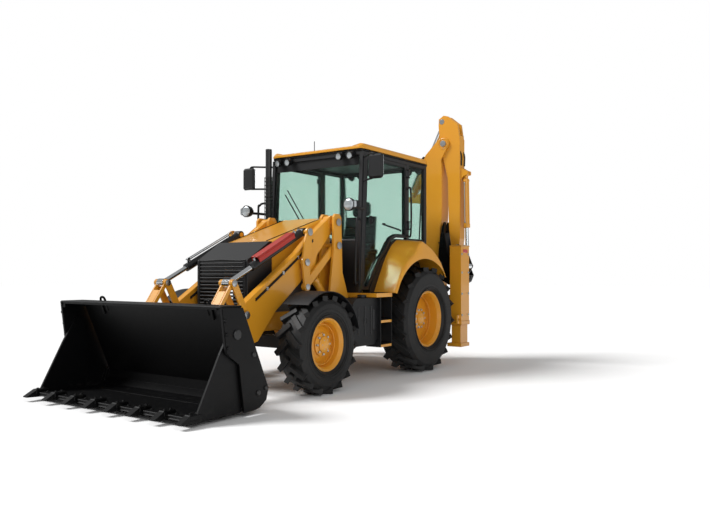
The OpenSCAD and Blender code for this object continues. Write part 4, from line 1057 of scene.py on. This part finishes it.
stick_ram = HOE_RAMS["stick_barrel"]
root, way = ram_line(stick_ram)
away = np.array([0, -way[2], way[1]])
r, near, far = stick_ram["r"], stick_ram["near"], stick_ram["far"]
run = ((near + 60, r + 16), (far - 260, r + 22), (far - 90, r + 44), (far + 10, r + 50), (far + 36, r + 30),
       (far - 6, r + 2))
ram_hoses = Piece()
for side in (-34, -8, 20):
    ram_hoses.tube([root + way * d + away * out + side * X_AXIS for d, out in run], 12, 8)
sleeve = [[r + 9, 0], [r + 13, 6], [r + 13, 84], [r + 9, 90]]
ram_hoses.turn(sleeve, root + way * (far - 170), way, 32)
ram_hoses.build("stick_ram_hoses", HOSE, "stick_barrel", "black_plastic")

TOOTH_FOOT = [(SWING[1] + u, z) for u, z in ((356, 1890), (372, 1990), (404, 1990), (398, 1890))]
hoe_bits = Piece()
for side in (-168, -58, 58, 168):
    hoe_bits.plate(TOOTH_FOOT, "x", SWING[0] + side - 36, SWING[0] + side + 36)
for s in SIDES:
    for u, z in ((360, 1700), (372, 1800), (388, 1880)):
        hoe_bits.nut(hoe(u, s * 203, z), s * X_AXIS, 13, 12)
for z in (1330, 1460, 1600, 1740):
    u = 318 - 0.03 * abs(z - 1480)
    hoe_bits.bar([hoe(u, -200, z), hoe(u, 200, z)], 8)
hoe_bits.build("hoe_bucket_bits", BUCKET, "hoe_bucket", "black_paint")

# %% [markdown]
# ## Frame, steps and stabilisers
# Small fixed things finish the sides: treads, caps, bolts, cover panels and reflectors.

# %% Frame fittings
STACK = (1165, -690)
SHIELD_LOW, SHIELD_HIGH, SHIELD_R = 1960, 2560, 54
TANK_SIDE, LEG_SIDE = 948, 1161

frame_black, frame_bright, frame_yellow, frame_red, grille = pieces(5)
for s in SIDES:
    for z in (425, 720):
        for x in range(796, 796 + 8 * 27, 27):
            frame_black.block([x, s * 798, z], [x + 13, s * 992, z + 7], 2)
    for x in range(840, 840 + 9 * 30, 30):
        frame_black.block([x, s * 760, 1050], [x + 12, s * 985, 1056], 2)
    frame_black.turn([[52, 0], [56, 6], [56, 30], [48, 38], [0, 40]], [1140, s * 800, 992], Z_AXIS, 28)
    for x in (1160, 1290, 1420):
        frame_black.block([x, s * TANK_SIDE, 560], [x + 18, s * (TANK_SIDE + 8), 900], 3)
    frame_black.block([1080, s * TANK_SIDE, 610], [1130, s * (TANK_SIDE + 7), 860], 4)
    frame_black.hoop([1290, s * (TANK_SIDE + 3), 730], Y_AXIS, 40, 5, 24)
    for z in (700, 1000, 1300, 1560):
        for x in (-1030, -828):
            frame_bright.nut([x, s * LEG_SIDE, z], s * Y_AXIS, 13, 12)
    frame_red.block([-1000, s * LEG_SIDE, 1580], [-860, s * (LEG_SIDE + 6), 1630], 3)
    frame_yellow.block([-1064, s * 980, 1664], [-794, s * 1168, 1686], 6)
    frame_yellow.block([-1066, s * 978, 556], [-792, s * 1170, 620], 8)
    for pivot in (ARM_PIVOT, LEVEL_PIVOT, LIFT_FOOT):
        frame_bright.turn([[31, 0], [44, 2], [44, 10], [0, 12]], at_y(pivot, s * TOWER_Y), s * Y_AXIS, 28)
    for z in (557.5, 722.5):
        frame_bright.nut([2610, s * 290, z], X_AXIS, 14, 12)
for z in (1700, 2300):
    frame_black.hoop([*STACK, z], Z_AXIS, 46, 6, 32)
for z in np.linspace(SHIELD_LOW, SHIELD_HIGH, 13):
    frame_black.hoop([*STACK, z], Z_AXIS, SHIELD_R, 5, 28)
for out in circle(X_AXIS, Y_AXIS, 8):
    x, y = STACK + SHIELD_R * out[:2]
    frame_black.bar([[x, y, SHIELD_LOW], [x, y, SHIELD_HIGH]], 4, 6)
for z in np.linspace(880, 1400, 14):
    grille.tube([[2696, -330, z], [2698, 0, z], [2696, 330, z]], 9, 6)
for s in SIDES:
    grille.bar([[2692, s * 350, 870], [2696, s * 350, 1420]], 14)
grille.tube([[2330, -350, 1636], [2500, -364, 1540], [2684, -364, 1436], [2694, 0, 1438], [2684, 364, 1436],
             [2500, 364, 1540], [2330, 350, 1636]], 7, 8)
grille.build("grille_trim", PLASTIC, "hood", "black_plastic")
frame_black.build("frame_fittings", BLACK, "base", "black_paint")
frame_bright.build("frame_bolts", STEEL, "base", "pin_steel")
frame_yellow.build("frame_collars", YELLOW, "base", "paint")
# The red reflectors share the tail lamps' glowing red lens, so they glow faintly though they are no lamps: a
# painted glow.
frame_red.build("reflectors", RED_LENS, "base", "window")

# %% [markdown]
# ## Studio
# A white floor under a white sky, one broad key light from the front right of the machine and a weak
# fill near the camera. The sky is bright to the eye and dimmer as a light. The camera stands where
# the photographer stood.

# %% Floor, light and camera
FLOOR_HALF = 60.0
SKY_LIGHT = 0.36
WHITE = (1, 1, 1, 1)

scene = bpy.context.scene
floor_mesh = bpy.data.meshes.new("floor")
floor_corners = [(x * FLOOR_HALF, y * FLOOR_HALF, 0) for x, y in ((-1, -1), (1, -1), (1, 1), (-1, 1))]
floor_mesh.from_pydata(floor_corners, [], [(0, 1, 2, 3)])
floor_look = Finish("floor").set(Base_Color=(0.93, 0.93, 0.93, 1), Roughness=0.75, Specular_IOR_Level=0.0)
floor_mesh.materials.append(floor_look)
floor = bpy.data.objects.new("floor", floor_mesh)
scene.collection.objects.link(floor)

scene.view_settings.view_transform = "Standard"
scene.view_settings.look = "None"
world = bpy.data.worlds.new("studio")
scene.world = world
world.use_nodes = True
sky = world.node_tree
backdrop = sky.nodes["Background"]
path = sky.nodes.new("ShaderNodeLightPath")
seen = Wire(sky, path.outputs["Is Camera Ray"]) + Wire(sky, path.outputs["Is Transmission Ray"])
connect(sky, backdrop.inputs["Strength"], seen * (1 - SKY_LIGHT) + SKY_LIGHT)
connect(sky, backdrop.inputs["Color"], WHITE)


def lamp_at(name, kind, place, target, energy, size):
    """A sun, sized in degrees, or a square panel, sized in metres, turned to a target."""
    light = bpy.data.lights.new(name, kind)
    light.energy = energy
    if kind == "SUN":
        light.angle = math.radians(size)
    else:
        light.size = size
    made = bpy.data.objects.new(name, light)
    start, end = to_row([place, target])
    made.location = start
    made.rotation_euler = Vector(end - start).to_track_quat("-Z", "Y").to_euler()
    scene.collection.objects.link(made)


lamp_at("key", "SUN", [5200, -5200, 8200], [1200, 0, 800], energy=3.1, size=24)
lamp_at("fill", "AREA", [7600, 9000, 5200], [1200, 500, 1300], energy=300, size=6.0)

CAMERA_AT = [8153, 5617, 1295]
CAMERA_YAW, CAMERA_PITCH = -144.95, 0.56
camera = bpy.data.cameras.new("camera")
camera.sensor_width = 36.0
camera.lens = 35.58
camera.clip_end = 200
eye = bpy.data.objects.new("camera", camera)
eye.location = to_row([CAMERA_AT])[0]
eye.rotation_euler = (math.radians(90 + CAMERA_PITCH), 0, math.radians(CAMERA_YAW - 90))
scene.collection.objects.link(eye)
scene.camera = eye
